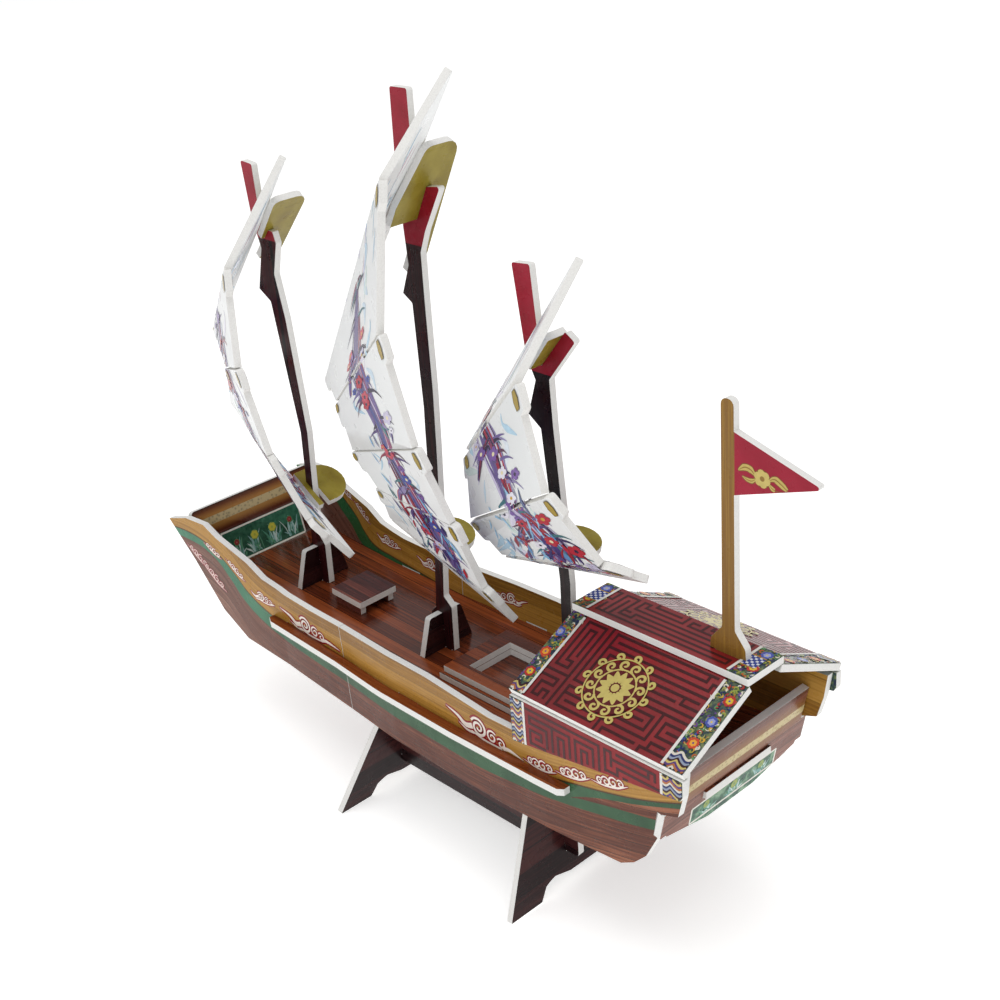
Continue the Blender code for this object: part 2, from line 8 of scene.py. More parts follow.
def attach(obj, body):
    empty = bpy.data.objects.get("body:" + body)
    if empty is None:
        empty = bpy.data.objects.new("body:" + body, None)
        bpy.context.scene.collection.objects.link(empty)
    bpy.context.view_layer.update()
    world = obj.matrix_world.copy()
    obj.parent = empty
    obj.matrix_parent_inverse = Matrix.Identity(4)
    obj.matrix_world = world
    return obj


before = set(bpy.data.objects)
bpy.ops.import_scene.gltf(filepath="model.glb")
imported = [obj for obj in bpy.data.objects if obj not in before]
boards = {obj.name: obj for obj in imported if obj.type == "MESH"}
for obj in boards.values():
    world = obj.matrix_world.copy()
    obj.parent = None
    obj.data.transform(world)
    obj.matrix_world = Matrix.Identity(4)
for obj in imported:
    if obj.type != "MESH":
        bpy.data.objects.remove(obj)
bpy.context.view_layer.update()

MM = 0.001
bpy.ops.object.select_all(action="DESELECT")

# Studio and camera
# A white paper floor under a large overhead softbox, with a weaker box on the port side.
# The camera looks down on the port quarter, slightly rolled, as the photograph does.
CAMERA_AT = Vector((-348.84, 299.40, 338.81)) * MM
CAMERA_TURNS = ((227.967, "Z"), (90.0 - 25.943, "X"), (-4.431, "Z"))
SOFTBOXES = [("overhead_softbox", (-0.10, 0.10, 1.50), 1.1, 8.5),
             ("port_softbox", (-0.60, 1.90, 1.30), 1.2, 5.0)]
SOFTBOX_AIM = Vector((0.0, 0.0, 0.1))
FLOOR_SIZE = 14.0

bpy.context.scene.view_settings.view_transform = "Standard"
lens = bpy.data.cameras.new("studio_lens")
lens.lens = 55.59
lens.sensor_width = 36.0
lens.clip_start = 0.01
camera = bpy.data.objects.new("studio_camera", lens)
bpy.context.scene.collection.objects.link(camera)
turn = Matrix.Identity(4)
for angle, axis in CAMERA_TURNS:
    turn = turn @ Matrix.Rotation(math.radians(angle), 4, axis)
camera.matrix_world = Matrix.Translation(CAMERA_AT) @ turn
bpy.context.scene.camera = camera

for name, spot, size, power in SOFTBOXES:
    lamp = bpy.data.lights.new(name, "AREA")
    lamp.size = size
    lamp.energy = power
    box = bpy.data.objects.new(name, lamp)
    aimed = (Vector(spot) - SOFTBOX_AIM).to_track_quat("Z", "Y").to_matrix().to_4x4()
    box.matrix_world = Matrix.Translation(spot) @ aimed
    bpy.context.scene.collection.objects.link(box)


def linear(tint):
    """A hex colour as seen on screen, as the linear colour that a shader takes."""
    parts = [int(tint[i:i + 2], 16) / 255.0 for i in (1, 3, 5)]
    return tuple(c / 12.92 if c <= 0.04045 else ((c + 0.055) / 1.055) ** 2.4 for c in parts) + (1.0,)


def add(tree, kind, feeds=None, stops=None, bends=None, **settings):
    """Adds a node with its settings, its links, and a ramp's stops or a curve's bends."""
    node = tree.nodes.new("ShaderNode" + kind)
    for key, value in settings.items():
        setattr(node, key, value)
    for socket, source in (feeds or {}).items():
        if isinstance(source, bpy.types.NodeSocket):
            tree.links.new(source, node.inputs[socket])
        else:
            node.inputs[socket].default_value = linear(source) if isinstance(source, str) else source
    if stops:
        ramp = node.color_ramp
        while len(ramp.elements) < len(stops):
            ramp.elements.new(0.5)
        for element, (place, tint) in zip(ramp.elements, stops):
            element.position = place
            element.color = linear(tint)
    if bends:
        curve = node.mapping.curves[0]
        for point, place in zip(curve.points, (bends[0], bends[-1])):
            point.location = place
        for place in bends[1:-1]:
            curve.points.new(*place)
        for point in curve.points:
            point.handle_type = "AUTO_CLAMPED"
        node.mapping.update()
    return node.outputs


def blank(name):
    """A material with nothing in its tree yet."""
    material = bpy.data.materials.new(name)
    material.use_nodes = True
    material.node_tree.nodes.clear()
    return material, material.node_tree


# The room gives half its light as a soft fill, and shows plain white behind the model.
world = bpy.data.worlds.new("white_studio")
bpy.context.scene.world = world
world.use_nodes = True
backdrop = world.node_tree.nodes["Background"]
backdrop.inputs["Color"].default_value = linear("#ffffff")
seen = add(world.node_tree, "LightPath")["Is Camera Ray"]
glow = add(world.node_tree, "MapRange", {0: seen, 1: 0.0, 2: 1.0, 3: 0.5, 4: 1.0})[0]
world.node_tree.links.new(glow, backdrop.inputs["Strength"])

# Matt paper spreads light evenly, so the shadow on it is soft. Its tooth is too fine for the picture, so
# it is drawn about 1 mm coarse, and a little glow burns it out to white as in the photograph.
bpy.ops.mesh.primitive_grid_add(x_subdivisions=4, y_subdivisions=4, size=FLOOR_SIZE, location=(0, 0, 0))
floor = bpy.context.object
floor.name = "paper_floor"
paper, tree = blank("matt_white_paper")
tooth = add(tree, "TexNoise", {"Vector": add(tree, "TexCoord")["Object"], "Scale": 900.0, "Detail": 2.0})[0]
shader = add(tree, "BsdfPrincipled", {
    "Base Color": add(tree, "ValToRGB", {0: tooth}, stops=[(0.3, "#f6f6f5"), (0.7, "#fbfbfa")])[0],
    "Roughness": 0.9, "Specular IOR Level": 0.2, "Emission Color": "#ffffff", "Emission Strength": 0.50})[0]
add(tree, "OutputMaterial", {0: shader})
floor.data.materials.append(paper)

# Hull sides
# Two die-cut boards on each side, bent round the deck. Each is white foam between two laminated
# prints: wood strips above, a green band, and brown planks below it that follow the sheer.
FOAM, FOAM_CELLS = "#eeedea", "#e3e2df"
SIDEWAYS = (0.0, 1.0, 0.0)
FACE_ON = 0.82


def printed_board(name, paint, facing, gloss=(0.22, 0.36), shine=0.22, ripples=0.3):
    """Foam board that faces one way: the laminated print on its two faces, bare foam on its cut edges.

    The film gives a crisp soft-box gloss with ripples 6 mm long, the foam a dull white with cells of 0.4 mm.
    A face is printed where the cosine between its normal and the board's facing is past FACE_ON.
    """
    material, tree = blank(name)
    mm = add(tree, "VectorMath", {0: add(tree, "TexCoord")["Object"], 3: 1000.0}, operation="SCALE")[0]
    x, y, z = add(tree, "SeparateXYZ", {0: mm})[:3]
    skin = add(tree, "NewGeometry")["True Normal"]
    ny = add(tree, "SeparateXYZ", {0: skin})[1]
    square_on = add(tree, "VectorMath", {0: skin, 1: facing}, operation="DOT_PRODUCT")["Value"]
    square_on = add(tree, "Math", {0: square_on}, operation="ABSOLUTE")[0]
    film = add(tree, "Math", {0: square_on, 1: FACE_ON}, operation="GREATER_THAN")[0]
    tint = paint(tree, dict(x=x, y=y, z=z, ny=ny, mm=mm))
    cells = add(tree, "TexNoise", {"Vector": mm, "Scale": 2.4, "Detail": 3.0})[0]
    ripple = add(tree, "TexNoise", {"Vector": mm, "Scale": 0.16, "Detail": 2.0})[0]
    foam = add(tree, "ValToRGB", {0: cells}, stops=[(0.25, FOAM_CELLS), (0.6, FOAM)])[0]
    sheen = add(tree, "MapRange", {0: ripple, 1: 0.3, 2: 0.7, 3: gloss[0], 4: gloss[1]})[0]
    rough = add(tree, "Mix", {0: film, 2: 0.82, 3: sheen}, data_type="FLOAT")[0]
    grit = add(tree, "Bump", {"Height": cells, "Distance": 0.00006, "Strength": 0.25})[0]
    wave = add(tree, "Bump", {"Height": ripple, "Distance": 0.0004, "Strength": ripples})[0]
    bump = add(tree, "Mix", {0: film, 4: grit, 5: wave}, data_type="VECTOR")[1]
    shader = add(tree, "BsdfPrincipled", {
        "Base Color": add(tree, "Mix", {0: film, 6: foam, 7: tint}, data_type="RGBA")[2],
        "Roughness": rough, "Normal": bump, "Specular IOR Level": shine})[0]
    add(tree, "OutputMaterial", {0: shader})
    return material


JOINT_SHARE = 0.06


def planks(tree, along, across, tints, width, joint="#2e1c14", streak=0.05):
    """Printed wood: fine grain along each strip, a tone of its own for each, and a thin dark joint.

    The grain is 0.7 mm wide and 1 / streak mm long.
    """
    row = add(tree, "Math", {0: across, 1: width}, operation="DIVIDE")[0]
    number = add(tree, "Math", {0: row}, operation="FLOOR")[0]
    tone = add(tree, "TexWhiteNoise", {"W": number}, noise_dimensions="1D")["Value"]
    spot = add(tree, "CombineXYZ", {
        0: add(tree, "Math", {0: along, 1: streak}, operation="MULTIPLY")[0],
        1: add(tree, "Math", {0: across, 1: 1.5}, operation="MULTIPLY")[0],
        2: add(tree, "Math", {0: number, 1: 3.7}, operation="MULTIPLY")[0]})[0]
    grain = add(tree, "TexNoise", {"Vector": spot, "Scale": 1.0, "Detail": 4.0, "Roughness": 0.6})[0]
    shade = add(tree, "Mix", {0: 0.3, 2: grain, 3: tone}, data_type="FLOAT")[0]
    wood = add(tree, "ValToRGB", {0: shade}, stops=list(zip((0.34, 0.5, 0.64), tints)))[0]
    place = add(tree, "Math", {0: row}, operation="FRACT")[0]
    edge = add(tree, "Math", {0: place, 1: JOINT_SHARE}, operation="LESS_THAN")[0]
    return add(tree, "Mix", {0: edge, 6: wood, 7: joint}, data_type="RGBA")[2]


def height_along(tree, x, places):
    """The height in mm of a printed edge that runs the length of a side, from a table of x and z."""
    tall = 100.0
    places = sorted(places)
    low, high = places[0][0], places[-1][0]
    share = add(tree, "MapRange", {0: x, 1: low, 2: high})[0]
    bends = [((px - low) / (high - low), pz / tall) for px, pz in places]
    curve = add(tree, "FloatCurve", {0: 1.0, 1: share}, bends=bends)[0]
    return add(tree, "Math", {0: curve, 1: tall}, operation="MULTIPLY")[0]


WEDGE_END = -75.4
LINE_HALF = 0.22


def hull_paint(tree, at):
    """The print of a hull side. Outside, a brown wedge also splits the green band towards the stern."""
    x, z = at["x"], at["z"]
    side = add(tree, "Math", {0: at["y"]}, operation="SIGN")[0]
    out = add(tree, "Math", {0: side, 1: at["ny"]}, operation="MULTIPLY")[0]
    outside = add(tree, "Math", {0: out, 1: 0.0}, operation="GREATER_THAN")[0]
    # From x 55 to 105 mm towards the bow, the brown planks and the green band blend to lighter, milkier
    # tints: painted sheen of the film on the bow boards.
    bow = add(tree, "MapRange", {0: x, 1: 55.0, 2: 105.0})[0]
    foot_of_wood = height_along(tree, x, [
        (139, 75.4), (129.7, 76), (119.4, 75), (110.1, 71.6), (101.6, 65.9), (94.3, 59.8), (85.5, 55.8),
        (78, 54), (34, 52.8), (-24, 52.8), (-53.5, 53.5), (-65.7, 54.8), (-79, 57.9), (-93.5, 61.7),
        (-107.4, 66.3), (-124, 73.5)])
    foot_of_green = height_along(tree, x, [
        (139, 72.6), (123.5, 72.3), (113.8, 69.7), (105.5, 63.1), (97.7, 55), (89, 50.2), (74.3, 46),
        (60.3, 44.6), (40.9, 43.4), (0, 41.6), (-25, 41.6), (-53, 44.3), (-72, 47.4), (-87, 50.8),
        (-101.2, 54.2), (-112, 57.6), (-124, 63)])
    split_low = height_along(tree, x, [(140, 30), (-60, 40), (-75.4, 51.3), (-87.4, 55), (-101.5, 58.6),
                                       (-112, 61.2), (-124, 65.8)])
    split_top = height_along(tree, x, [(140, 30), (-60, 40), (-75.4, 51.5), (-87.6, 57.2), (-101.8, 62.2),
                                       (-118, 68.9), (-124, 71.4)])
    inner_wood = height_along(tree, x, [(139, 84), (118, 79), (107.8, 73), (99.8, 67.2), (95.3, 62.2),
                                        (88.4, 58.1), (78, 57.2), (25.9, 52.6), (-124, 52.6)])
    inner_green = height_along(tree, x, [(139, 78), (118, 73), (109.6, 67), (103.7, 62.4), (99.1, 57.2),
                                         (91, 53.6), (66.9, 53.2), (25, 50.6), (-124, 50.6)])
    wood_foot = add(tree, "Mix", {0: outside, 2: inner_wood, 3: foot_of_wood}, data_type="FLOAT")[0]
    green_foot = add(tree, "Mix", {0: outside, 2: inner_green, 3: foot_of_green}, data_type="FLOAT")[0]
    above = add(tree, "Math", {0: z, 1: wood_foot}, operation="SUBTRACT")[0]
    below = add(tree, "Math", {0: z, 1: green_foot}, operation="SUBTRACT")[0]
    ochre = planks(tree, x, above, ("#855c22", "#a87a32", "#bf9145"), 9.0, "#8f6729", 0.02)
    brown = planks(tree, x, below, ("#56291a", "#7d462f", "#9b6145"), 3.4)
    # The bow's planks are printed wider; their lighter, milkier tints are painted sheen.
    sheen_lit_bow_brown = planks(tree, x, below, ("#684438", "#835c4e", "#97705f"), 4.6, "#4a2f26")
    brown = add(tree, "Mix", {0: bow, 6: brown, 7: sheen_lit_bow_brown}, data_type="RGBA")[2]
    cloudy = add(tree, "TexNoise", {"Vector": at["mm"], "Scale": 0.06, "Detail": 3.0})[0]
    stern_green = add(tree, "ValToRGB", {0: cloudy}, stops=[(0.3, "#27482f"), (0.7, "#3a6343")])[0]
    # The bow's lighter, milkier green is painted sheen.
    sheen_lit_bow_green = add(tree, "ValToRGB", {0: cloudy}, stops=[(0.3, "#356a4e"), (0.7, "#4a876a")])[0]
    green = add(tree, "Mix", {0: bow, 6: stern_green, 7: sheen_lit_bow_green}, data_type="RGBA")[2]
    inside_green = add(tree, "ValToRGB", {0: cloudy}, stops=[(0.3, "#23522f"), (0.7, "#2f6a3c")])[0]
    green = add(tree, "Mix", {0: outside, 6: inside_green, 7: green}, data_type="RGBA")[2]
    is_green = add(tree, "Math", {0: below, 1: 0.0}, operation="GREATER_THAN")[0]
    tint = add(tree, "Mix", {0: is_green, 6: brown, 7: green}, data_type="RGBA")[2]
    over_low = add(tree, "Math", {0: z, 1: split_low}, operation="GREATER_THAN")[0]
    under_top = add(tree, "Math", {0: z, 1: split_top}, operation="LESS_THAN")[0]
    aft = add(tree, "Math", {0: x, 1: WEDGE_END}, operation="LESS_THAN")[0]
    wedge = outside
    for part in (over_low, under_top, aft):
        wedge = add(tree, "Math", {0: wedge, 1: part}, operation="MULTIPLY")[0]
    tint = add(tree, "Mix", {0: wedge, 6: tint, 7: brown}, data_type="RGBA")[2]
    line = add(tree, "Math", {0: above, 1: 0.0, 2: LINE_HALF}, operation="COMPARE")[0]
    is_wood = add(tree, "Math", {0: above, 1: 0.0}, operation="GREATER_THAN")[0]
    tint = add(tree, "Mix", {0: is_wood, 6: tint, 7: ochre}, data_type="RGBA")[2]
    return add(tree, "Mix", {0: line, 6: tint, 7: "#4a2f1c"}, data_type="RGBA")[2]


def dress(material, *names, edge=0.28):
    """Puts a material on CAD boards, and rounds their cut edges a little, as die cutting does."""
    for name in names:
        board = boards[name]
        board.data.materials.clear()
        board.data.materials.append(material)
        weld = board.modifiers.new("join_corners", "WELD")
        weld.merge_threshold = 0.002 * MM
        bevel = board.modifiers.new("pressed_edge", "BEVEL")
        bevel.width = edge * MM
        bevel.segments = 2
        bevel.limit_method = "ANGLE"
        bevel.angle_limit = math.radians(40.0)
        bevel.use_clamp_overlap = True


hull_print = printed_board("laminated_hull_print_on_foam_board", hull_paint, SIDEWAYS)
dress(hull_print, "port_side_aft", "port_side_bow", "starboard_side_aft", "starboard_side_bow", edge=0.10)


def ink(name, tint):
    """Printed ink under the film: even, mottled by 8 parts in 100, with the film's gloss."""
    material, tree = blank(name)
    spots = add(tree, "TexNoise", {
        "Vector": add(tree, "TexCoord")["Object"], "Scale": 700.0, "Detail": 2.0})[0]
    level = add(tree, "MapRange", {0: spots, 1: 0.25, 2: 0.75, 3: 0.92, 4: 1.08})[0]
    tone = add(tree, "HueSaturation", {"Value": level, "Color": tint})[0]
    swell = add(tree, "Bump", {"Height": spots, "Distance": 0.00002, "Strength": 0.1})[0]
    shader = add(tree, "BsdfPrincipled", {"Base Color": tone, "Roughness": 0.26, "Normal": swell,
                                          "Specular IOR Level": 0.25})[0]
    add(tree, "OutputMaterial", {0: shader})
    return material


inks = {}
CURVE_STEP, RULE_STEP = 0.35, 1.2


def smooth(points):
    """A soft line through the points of a drawing, as evenly close points."""
    line = []
    count = len(points)
    for i in range(count - 1):
        p0, p1, p2, p3 = (Vector(points[min(max(j, 0), count - 1)]) for j in (i - 1, i, i + 1, i + 2))
        steps = max(2, int((p2 - p1).length / CURVE_STEP))
        for k in range(steps):
            t = k / steps
            line.append(0.5 * ((2 * p1) + (p2 - p0) * t + (2 * p0 - 5 * p1 + 4 * p2 - p3) * t * t
                               + (3 * p1 - p0 - 3 * p2 + p3) * t ** 3))
    return line + [Vector(points[-1])]


def ruled(points):
    """Straight lines through the points, as short lengths, so that a board's edge can cut them."""
    line = [Vector(points[0])]
    for a, b in zip(points, points[1:]):
        count = max(1, round((Vector(b) - Vector(a)).length / RULE_STEP))
        line += [Vector(a).lerp(Vector(b), k / count) for k in range(1, count + 1)]
    return line


def stroke(tint, points, widths, soft=True):
    """One brush stroke of a drawing: its ink, its line, and its width from start to end."""
    line = smooth(points) if soft else ruled(points)
    last = len(line) - 1
    sides = []
    for i, p in enumerate(line):
        ahead = line[min(i + 1, last)] - p
        behind = p - line[max(i - 1, 0)]
        ahead = ahead.normalized() if ahead.length > 1e-9 else behind.normalized()
        behind = behind.normalized() if behind.length > 1e-9 else ahead
        way = ahead + behind
        way = way.normalized() if way.length > 1e-6 else ahead
        spread = 1.0 / max(0.5, way.dot(ahead))
        across = Vector((-way.y, way.x))
        share = i / last * (len(widths) - 1)
        k = min(int(share), len(widths) - 2) if len(widths) > 1 else 0
        width = widths[0] if len(widths) == 1 else widths[k] + (widths[k + 1] - widths[k]) * (share - k)
        sides.append((p + across * 0.5 * width * spread, p - across * 0.5 * width * spread))
    corners = [corner for pair in sides for corner in pair]
    return tint, corners, [(2 * i, 2 * i + 1, 2 * i + 3, 2 * i + 2) for i in range(last)]


def shape(tint, outline):
    """One filled shape of a drawing."""
    return tint, [Vector(p) for p in outline], [tuple(range(len(outline)))]


def disc(tint, x, y, r, ry=None, sides=16):
    """One filled round dot of a drawing."""
    return shape(tint, [(x + r * math.cos(a), y + (ry or r) * math.sin(a))
                        for a in (2 * math.pi * i / sides for i in range(sides))])


def spiral(x, y, start, end, turns, angle, way, steps=10):
    """The points of a scroll that winds in from radius start to radius end."""
    count = max(4, int(steps * abs(turns)))
    line = []
    for i in range(count + 1):
        r = start + (end - start) * i / count
        a = angle + way * 2 * math.pi * turns * i / count
        line.append((x + r * math.cos(a), y + r * math.sin(a)))
    return line


# An ink film lies 0.035 mm above its board, and each stroke a trace above the one before it.
# A print looks for its board within 8 mm, and takes only a face that looks the print's way.
FILM, NEXT_INK, SAME_INK = 0.035, 0.0007, 0.0001
REACH = 0.008
FLAT_ON = 0.8


def board_under(place, out, onto):
    """How far out, where and how the outermost of some boards lies straight under a place, or None."""
    best = None
    for board in onto:
        hit, where, normal, _ = boards[board].ray_cast(place + out * REACH, -out, distance=2 * REACH)
        if hit and normal.dot(out) > FLAT_ON and (best is None or (where - place).dot(out) > best[0]):
            best = ((where - place).dot(out), where, normal)
    return best


def lay_print(name, drawing, spot, onto):
    """Lays a flat drawing on boards: each corner goes straight onto the board under it, an ink film above.

    What falls outside the board is cut off with the board's edge.
    """
    corners, faces, tints, used = [], [], [], []
    lift, last = FILM * MM, None
    for tint, points, loops in drawing:
        lift += (SAME_INK if tint == last else NEXT_INK) * MM
        last = tint
        if tint not in used:
            used.append(tint)
        start = len(corners)
        fits = []
        for p in points:
            place, out = spot(p.x, p.y)
            found = board_under(place, out, onto)
            corners.append(found[1] + found[2] * lift if found else place)
            fits.append(out if found else None)
        for loop in loops:
            if all(fits[i] is not None for i in loop):
                out = fits[loop[0]]
                a, b, c = (corners[start + loop[i]] for i in (0, 1, 2))
                area = (b - a).cross(c - b).dot(out)
                if len(loop) > 4:
                    spokes = [corners[start + i] - a for i in loop[1:]]
                    area = sum(p.cross(q).dot(out) for p, q in zip(spokes, spokes[1:]))
                faces.append([start + i for i in (reversed(loop) if area < 0 else loop)])
                tints.append(used.index(tint))
    mesh = bpy.data.meshes.new(name)
    mesh.from_pydata(corners, [], faces)
    for tint in used:
        if tint not in inks:
            inks[tint] = ink("printed_ink_" + tint.strip("#"), tint)
        mesh.materials.append(inks[tint])
    mesh.polygons.foreach_set("material_index", tints)
    piece = bpy.data.objects.new(name, mesh)
    bpy.context.scene.collection.objects.link(piece)
    bpy.context.view_layer.objects.active = piece
    piece.select_set(True)
    bpy.ops.object.mode_set(mode="EDIT")
    bpy.ops.mesh.select_all(action="SELECT")
    bpy.ops.mesh.delete_loose()
    bpy.ops.object.mode_set(mode="OBJECT")
    piece.select_set(False)
    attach(piece, "root")


CLOUD_RIM, CLOUD_WHITE = "#8e1f26", "#efe6dc"
THIN = 0.03


def edged(strokes, line_tint, rim_tint, rim):
    """Strokes in one ink, over the same strokes in another that are wider by a rim."""
    return ([stroke(rim_tint, line, [w + rim for w in widths]) for line, widths in strokes]
            + [stroke(line_tint, line, widths) for line, widths in strokes])


def cloud(x, y, size, flip=1, tail=1.0):
    """A scroll cloud: wound curls and flame-like tails, in white lines on a dark red ground."""
    def swept(*places):
        return [(x + flip * dx * size, y + dy * size) for dx, dy in places]

    def wound(dx, dy, start, end, turns, angle, way):
        return spiral(x + flip * dx * size, y + dy * size, start * size, end * size, turns, angle, way, 12)

    def wide(*shares):
        return [share * size for share in shares]

    return edged([
        (wound(0.0, 0.0, 0.62, 0.10, 1.9, 2.6 if flip > 0 else 0.5, -flip), wide(0.14, 0.17, 0.12)),
        (wound(1.05, -0.12, 0.42, 0.08, 1.4, 2.4, -1), wide(0.10, 0.13, 0.08)),
        (wound(1.75, -0.25, 0.34, 0.07, 1.2, 0.6, 1), wide(0.09, 0.12, 0.07)),
        (swept((-0.5, -0.1), (-1.1, -0.25), (-1.7, 0.10), (-2.5 * tail, 0.35)),
         wide(0.36, 0.30, 0.16) + [THIN]),
        (swept((-0.4, -0.5), (-1.0, -0.55), (-1.6 * tail, -0.3)), wide(0.18, 0.16) + [THIN]),
        (swept((1.7, -0.5), (2.4, -0.35), (3.3 * tail, -0.5)), wide(0.28, 0.20) + [THIN]),
        (swept((-0.6, -0.45), (0.5, -0.62), (1.8, -0.55)), wide(0.10, 0.16, 0.12))],
        CLOUD_WHITE, CLOUD_RIM, 0.24 * size)


CURLS = ((-1.5, 0.5, 0.4, 1), (-0.5, 0.7, 2.2, -1), (0.5, 0.62, 0.3, 1), (1.4, 0.45, 2.6, -1))


def small_cloud(x, y, size, lean, tints=(CLOUD_RIM, CLOUD_WHITE)):
    """A short string of curls that leans with the sheer, light lines edged in a darker ink."""
    strokes = [(spiral(x + dx * size, y + lean * dx * size, r * size, 0.1 * size, 1.25, turn, way),
                (0.16 * size, 0.22 * size, 0.12 * size)) for dx, r, turn, way in CURLS]
    link = [(x + dx * size, y + dy * size + dx * lean * size)
            for dx, dy in ((-2.6, -0.1), (-1.0, -0.55), (1.0, -0.5), (2.6, -0.1))]
    return edged(strokes + [(link, (0.06, 0.26 * size, 0.2 * size, 0.06))], tints[1], tints[0], 0.3 * size)


def abeam(y, way):
    """Where a print lies on a board that runs fore and aft and faces abeam: u forward, v the height."""
    return lambda u, v: (Vector((u, y, v)) * MM, Vector((0, way, 0)))


BOW_TINTS = ("#93464a", "#e0c6be")
side_drawing = (cloud(-34.6, 58.4, 6.0, -1, 1.05) + cloud(60.5, 58.8, 5.4, -1, 1.15)
                + cloud(87.0, 61.2, 3.2, -1, 0.7) + small_cloud(113.5, 72.6, 2.0, 0.42)
                + small_cloud(100.6, 68.4, 2.1, 0.62) + small_cloud(-62.6, 57.6, 2.9, -0.10)
                + small_cloud(-77.0, 61.2, 2.9, -0.28) + small_cloud(-92.4, 65.6, 2.9, -0.30)
                + small_cloud(124.6, 66.6, 2.5, 0.62, BOW_TINTS)
                + small_cloud(116.2, 60.4, 2.6, 0.72, BOW_TINTS))
inner_drawing = (cloud(81.0, 63.6, 3.2, -1, 0.8) + cloud(56.0, 61.4, 3.4, -1, 0.9)
                 + small_cloud(106.5, 77.0, 2.0, 0.5) + small_cloud(96.0, 71.0, 2.0, 0.7)
                 + cloud(14.0, 60.6, 3.4) + cloud(-26.0, 60.4, 3.4, -1))
OUTER_FACE, INNER_FACE = 32.0, 29.0
for hand, way in (("port", 1), ("starboard", -1)):
    sides = [hand + "_side_aft", hand + "_side_bow"]
    lay_print(hand + "_side_clouds", side_drawing, abeam(way * OUTER_FACE, way), sides)
    lay_print(hand + "_inner_clouds", inner_drawing, abeam(way * INNER_FACE, -way), sides)

# Strakes
# A narrow board laid flat along each side under the wood strips, glued on its inner edge.
# Its upper face is printed red-brown; the cut edge shows as a white line.
UPWARDS = (0.0, 0.0, 1.0)


def wood_print(along, across, tints, width, joint, streak=0.05):
    """A board printed all over as planks, which run along one axis and lie side by side across another."""
    return lambda tree, at: planks(tree, at[along], at[across], tints, width, joint, streak)


strake_print = wood_print("x", "y", ("#5f2a12", "#7d3d19", "#96522a"), 6.0, "#5f2a12")
dress(printed_board("laminated_red_brown_print", strake_print, UPWARDS), "port_strake", "starboard_strake")

# Deck, hatch and bench
# The deck drops between the sides on tabs. The hatch frame and its coaming stand on it, and a
# small bench stands on two legs. All are printed as red-brown planks, and the deck's film is glossy.
deck_wood = wood_print("x", "y", ("#4c2115", "#78381d", "#9a4e28"), 5.4, "#34160e", 0.025)
bench_wood, leg_wood = (wood_print("x", across, ("#3a1c1d", "#5a2a26", "#7b4336"), 3.6, "#241012")
                        for across in "yz")
dress(printed_board("laminated_plank_print_on_foam_board", deck_wood, UPWARDS, (0.14, 0.26), 0.5),
      "deck", "hatch_frame")
dress(printed_board("laminated_dark_plank_print", bench_wood, UPWARDS), "bench_plate")
dress(printed_board("laminated_bench_leg_print", leg_wood, SIDEWAYS), "bench_leg_port", "bench_leg_starboard")
dress(printed_board("laminated_coaming_print", deck_wood, UPWARDS), "hatch_coaming")

# Stern and bow boards
# The transom and the bow bulkhead lock the two sides together. Both carry a cream band over a green
# garden panel, and the bow plate closes the stem under the deck.
TRANSOM_FACING = (-0.976, 0.0, -0.216)
BULKHEAD_FACING = (0.966, 0.0, -0.258)
STEM_FACING = (-0.835, 0.0, 0.55)
BAND_HALF = 1.5


def mottled(tree, at, scale, detail, *stops):
    """Printed colour that wavers between tints, in patches of about 1 / scale mm."""
    patches = add(tree, "TexNoise", {"Vector": at["mm"], "Scale": scale, "Detail": detail})[0]
    return add(tree, "ValToRGB", {0: patches}, stops=stops)[0]


def cream_band(tree, at, ground, middle, scale, *stops):
    """A woven cream band across a board, over its ground. Its threads are about 1 mm apart."""
    weave = add(tree, "TexVoronoi", {"Vector": at["mm"], "Scale": scale})[0]
    cream = add(tree, "ValToRGB", {0: weave}, stops=stops)[0]
    band = add(tree, "Math", {0: at["z"], 1: middle, 2: BAND_HALF}, operation="COMPARE")[0]
    return add(tree, "Mix", {0: band, 6: ground, 7: cream}, data_type="RGBA")[2]


def green_panel(tree, at, ground, half, top, green):
    """The green ground of a garden: within half a width of the middle line, and under a height."""
    aside = add(tree, "Math", {0: at["y"]}, operation="ABSOLUTE")[0]
    wide = add(tree, "Math", {0: aside, 1: half}, operation="LESS_THAN")[0]
    low = add(tree, "Math", {0: at["z"], 1: top}, operation="LESS_THAN")[0]
    panel = add(tree, "Math", {0: wide, 1: low}, operation="MULTIPLY")[0]
    return add(tree, "Mix", {0: panel, 6: ground, 7: green}, data_type="RGBA")[2]


def transom_paint(tree, at):
    wood = planks(tree, at["y"], at["z"], ("#5c3429", "#7b4d40", "#966657"), 6.2, "#4f3026")
    height = add(tree, "MapRange", {0: at["z"], 1: 62.0, 2: 73.2})[0]
    warm = add(tree, "ValToRGB", {0: height}, stops=[
        (0.0, "#000000"), (0.28, "#ffffff"), (0.72, "#ffffff"), (1.0, "#000000")])[0]
    wood = add(tree, "Mix", {0: warm, 6: wood, 7: "#8a5f3a"}, data_type="RGBA")[2]
    tint = cream_band(tree, at, wood, 67.6, 0.9, (0.1, "#9a8452"), (0.5, "#c9b888"))
    green = mottled(tree, at, 0.35, 4.0, (0.35, "#23463a"), (0.5, "#3f6f56"), (0.62, "#7fa182"))
    return green_panel(tree, at, tint, 20.2, 57.6, green)


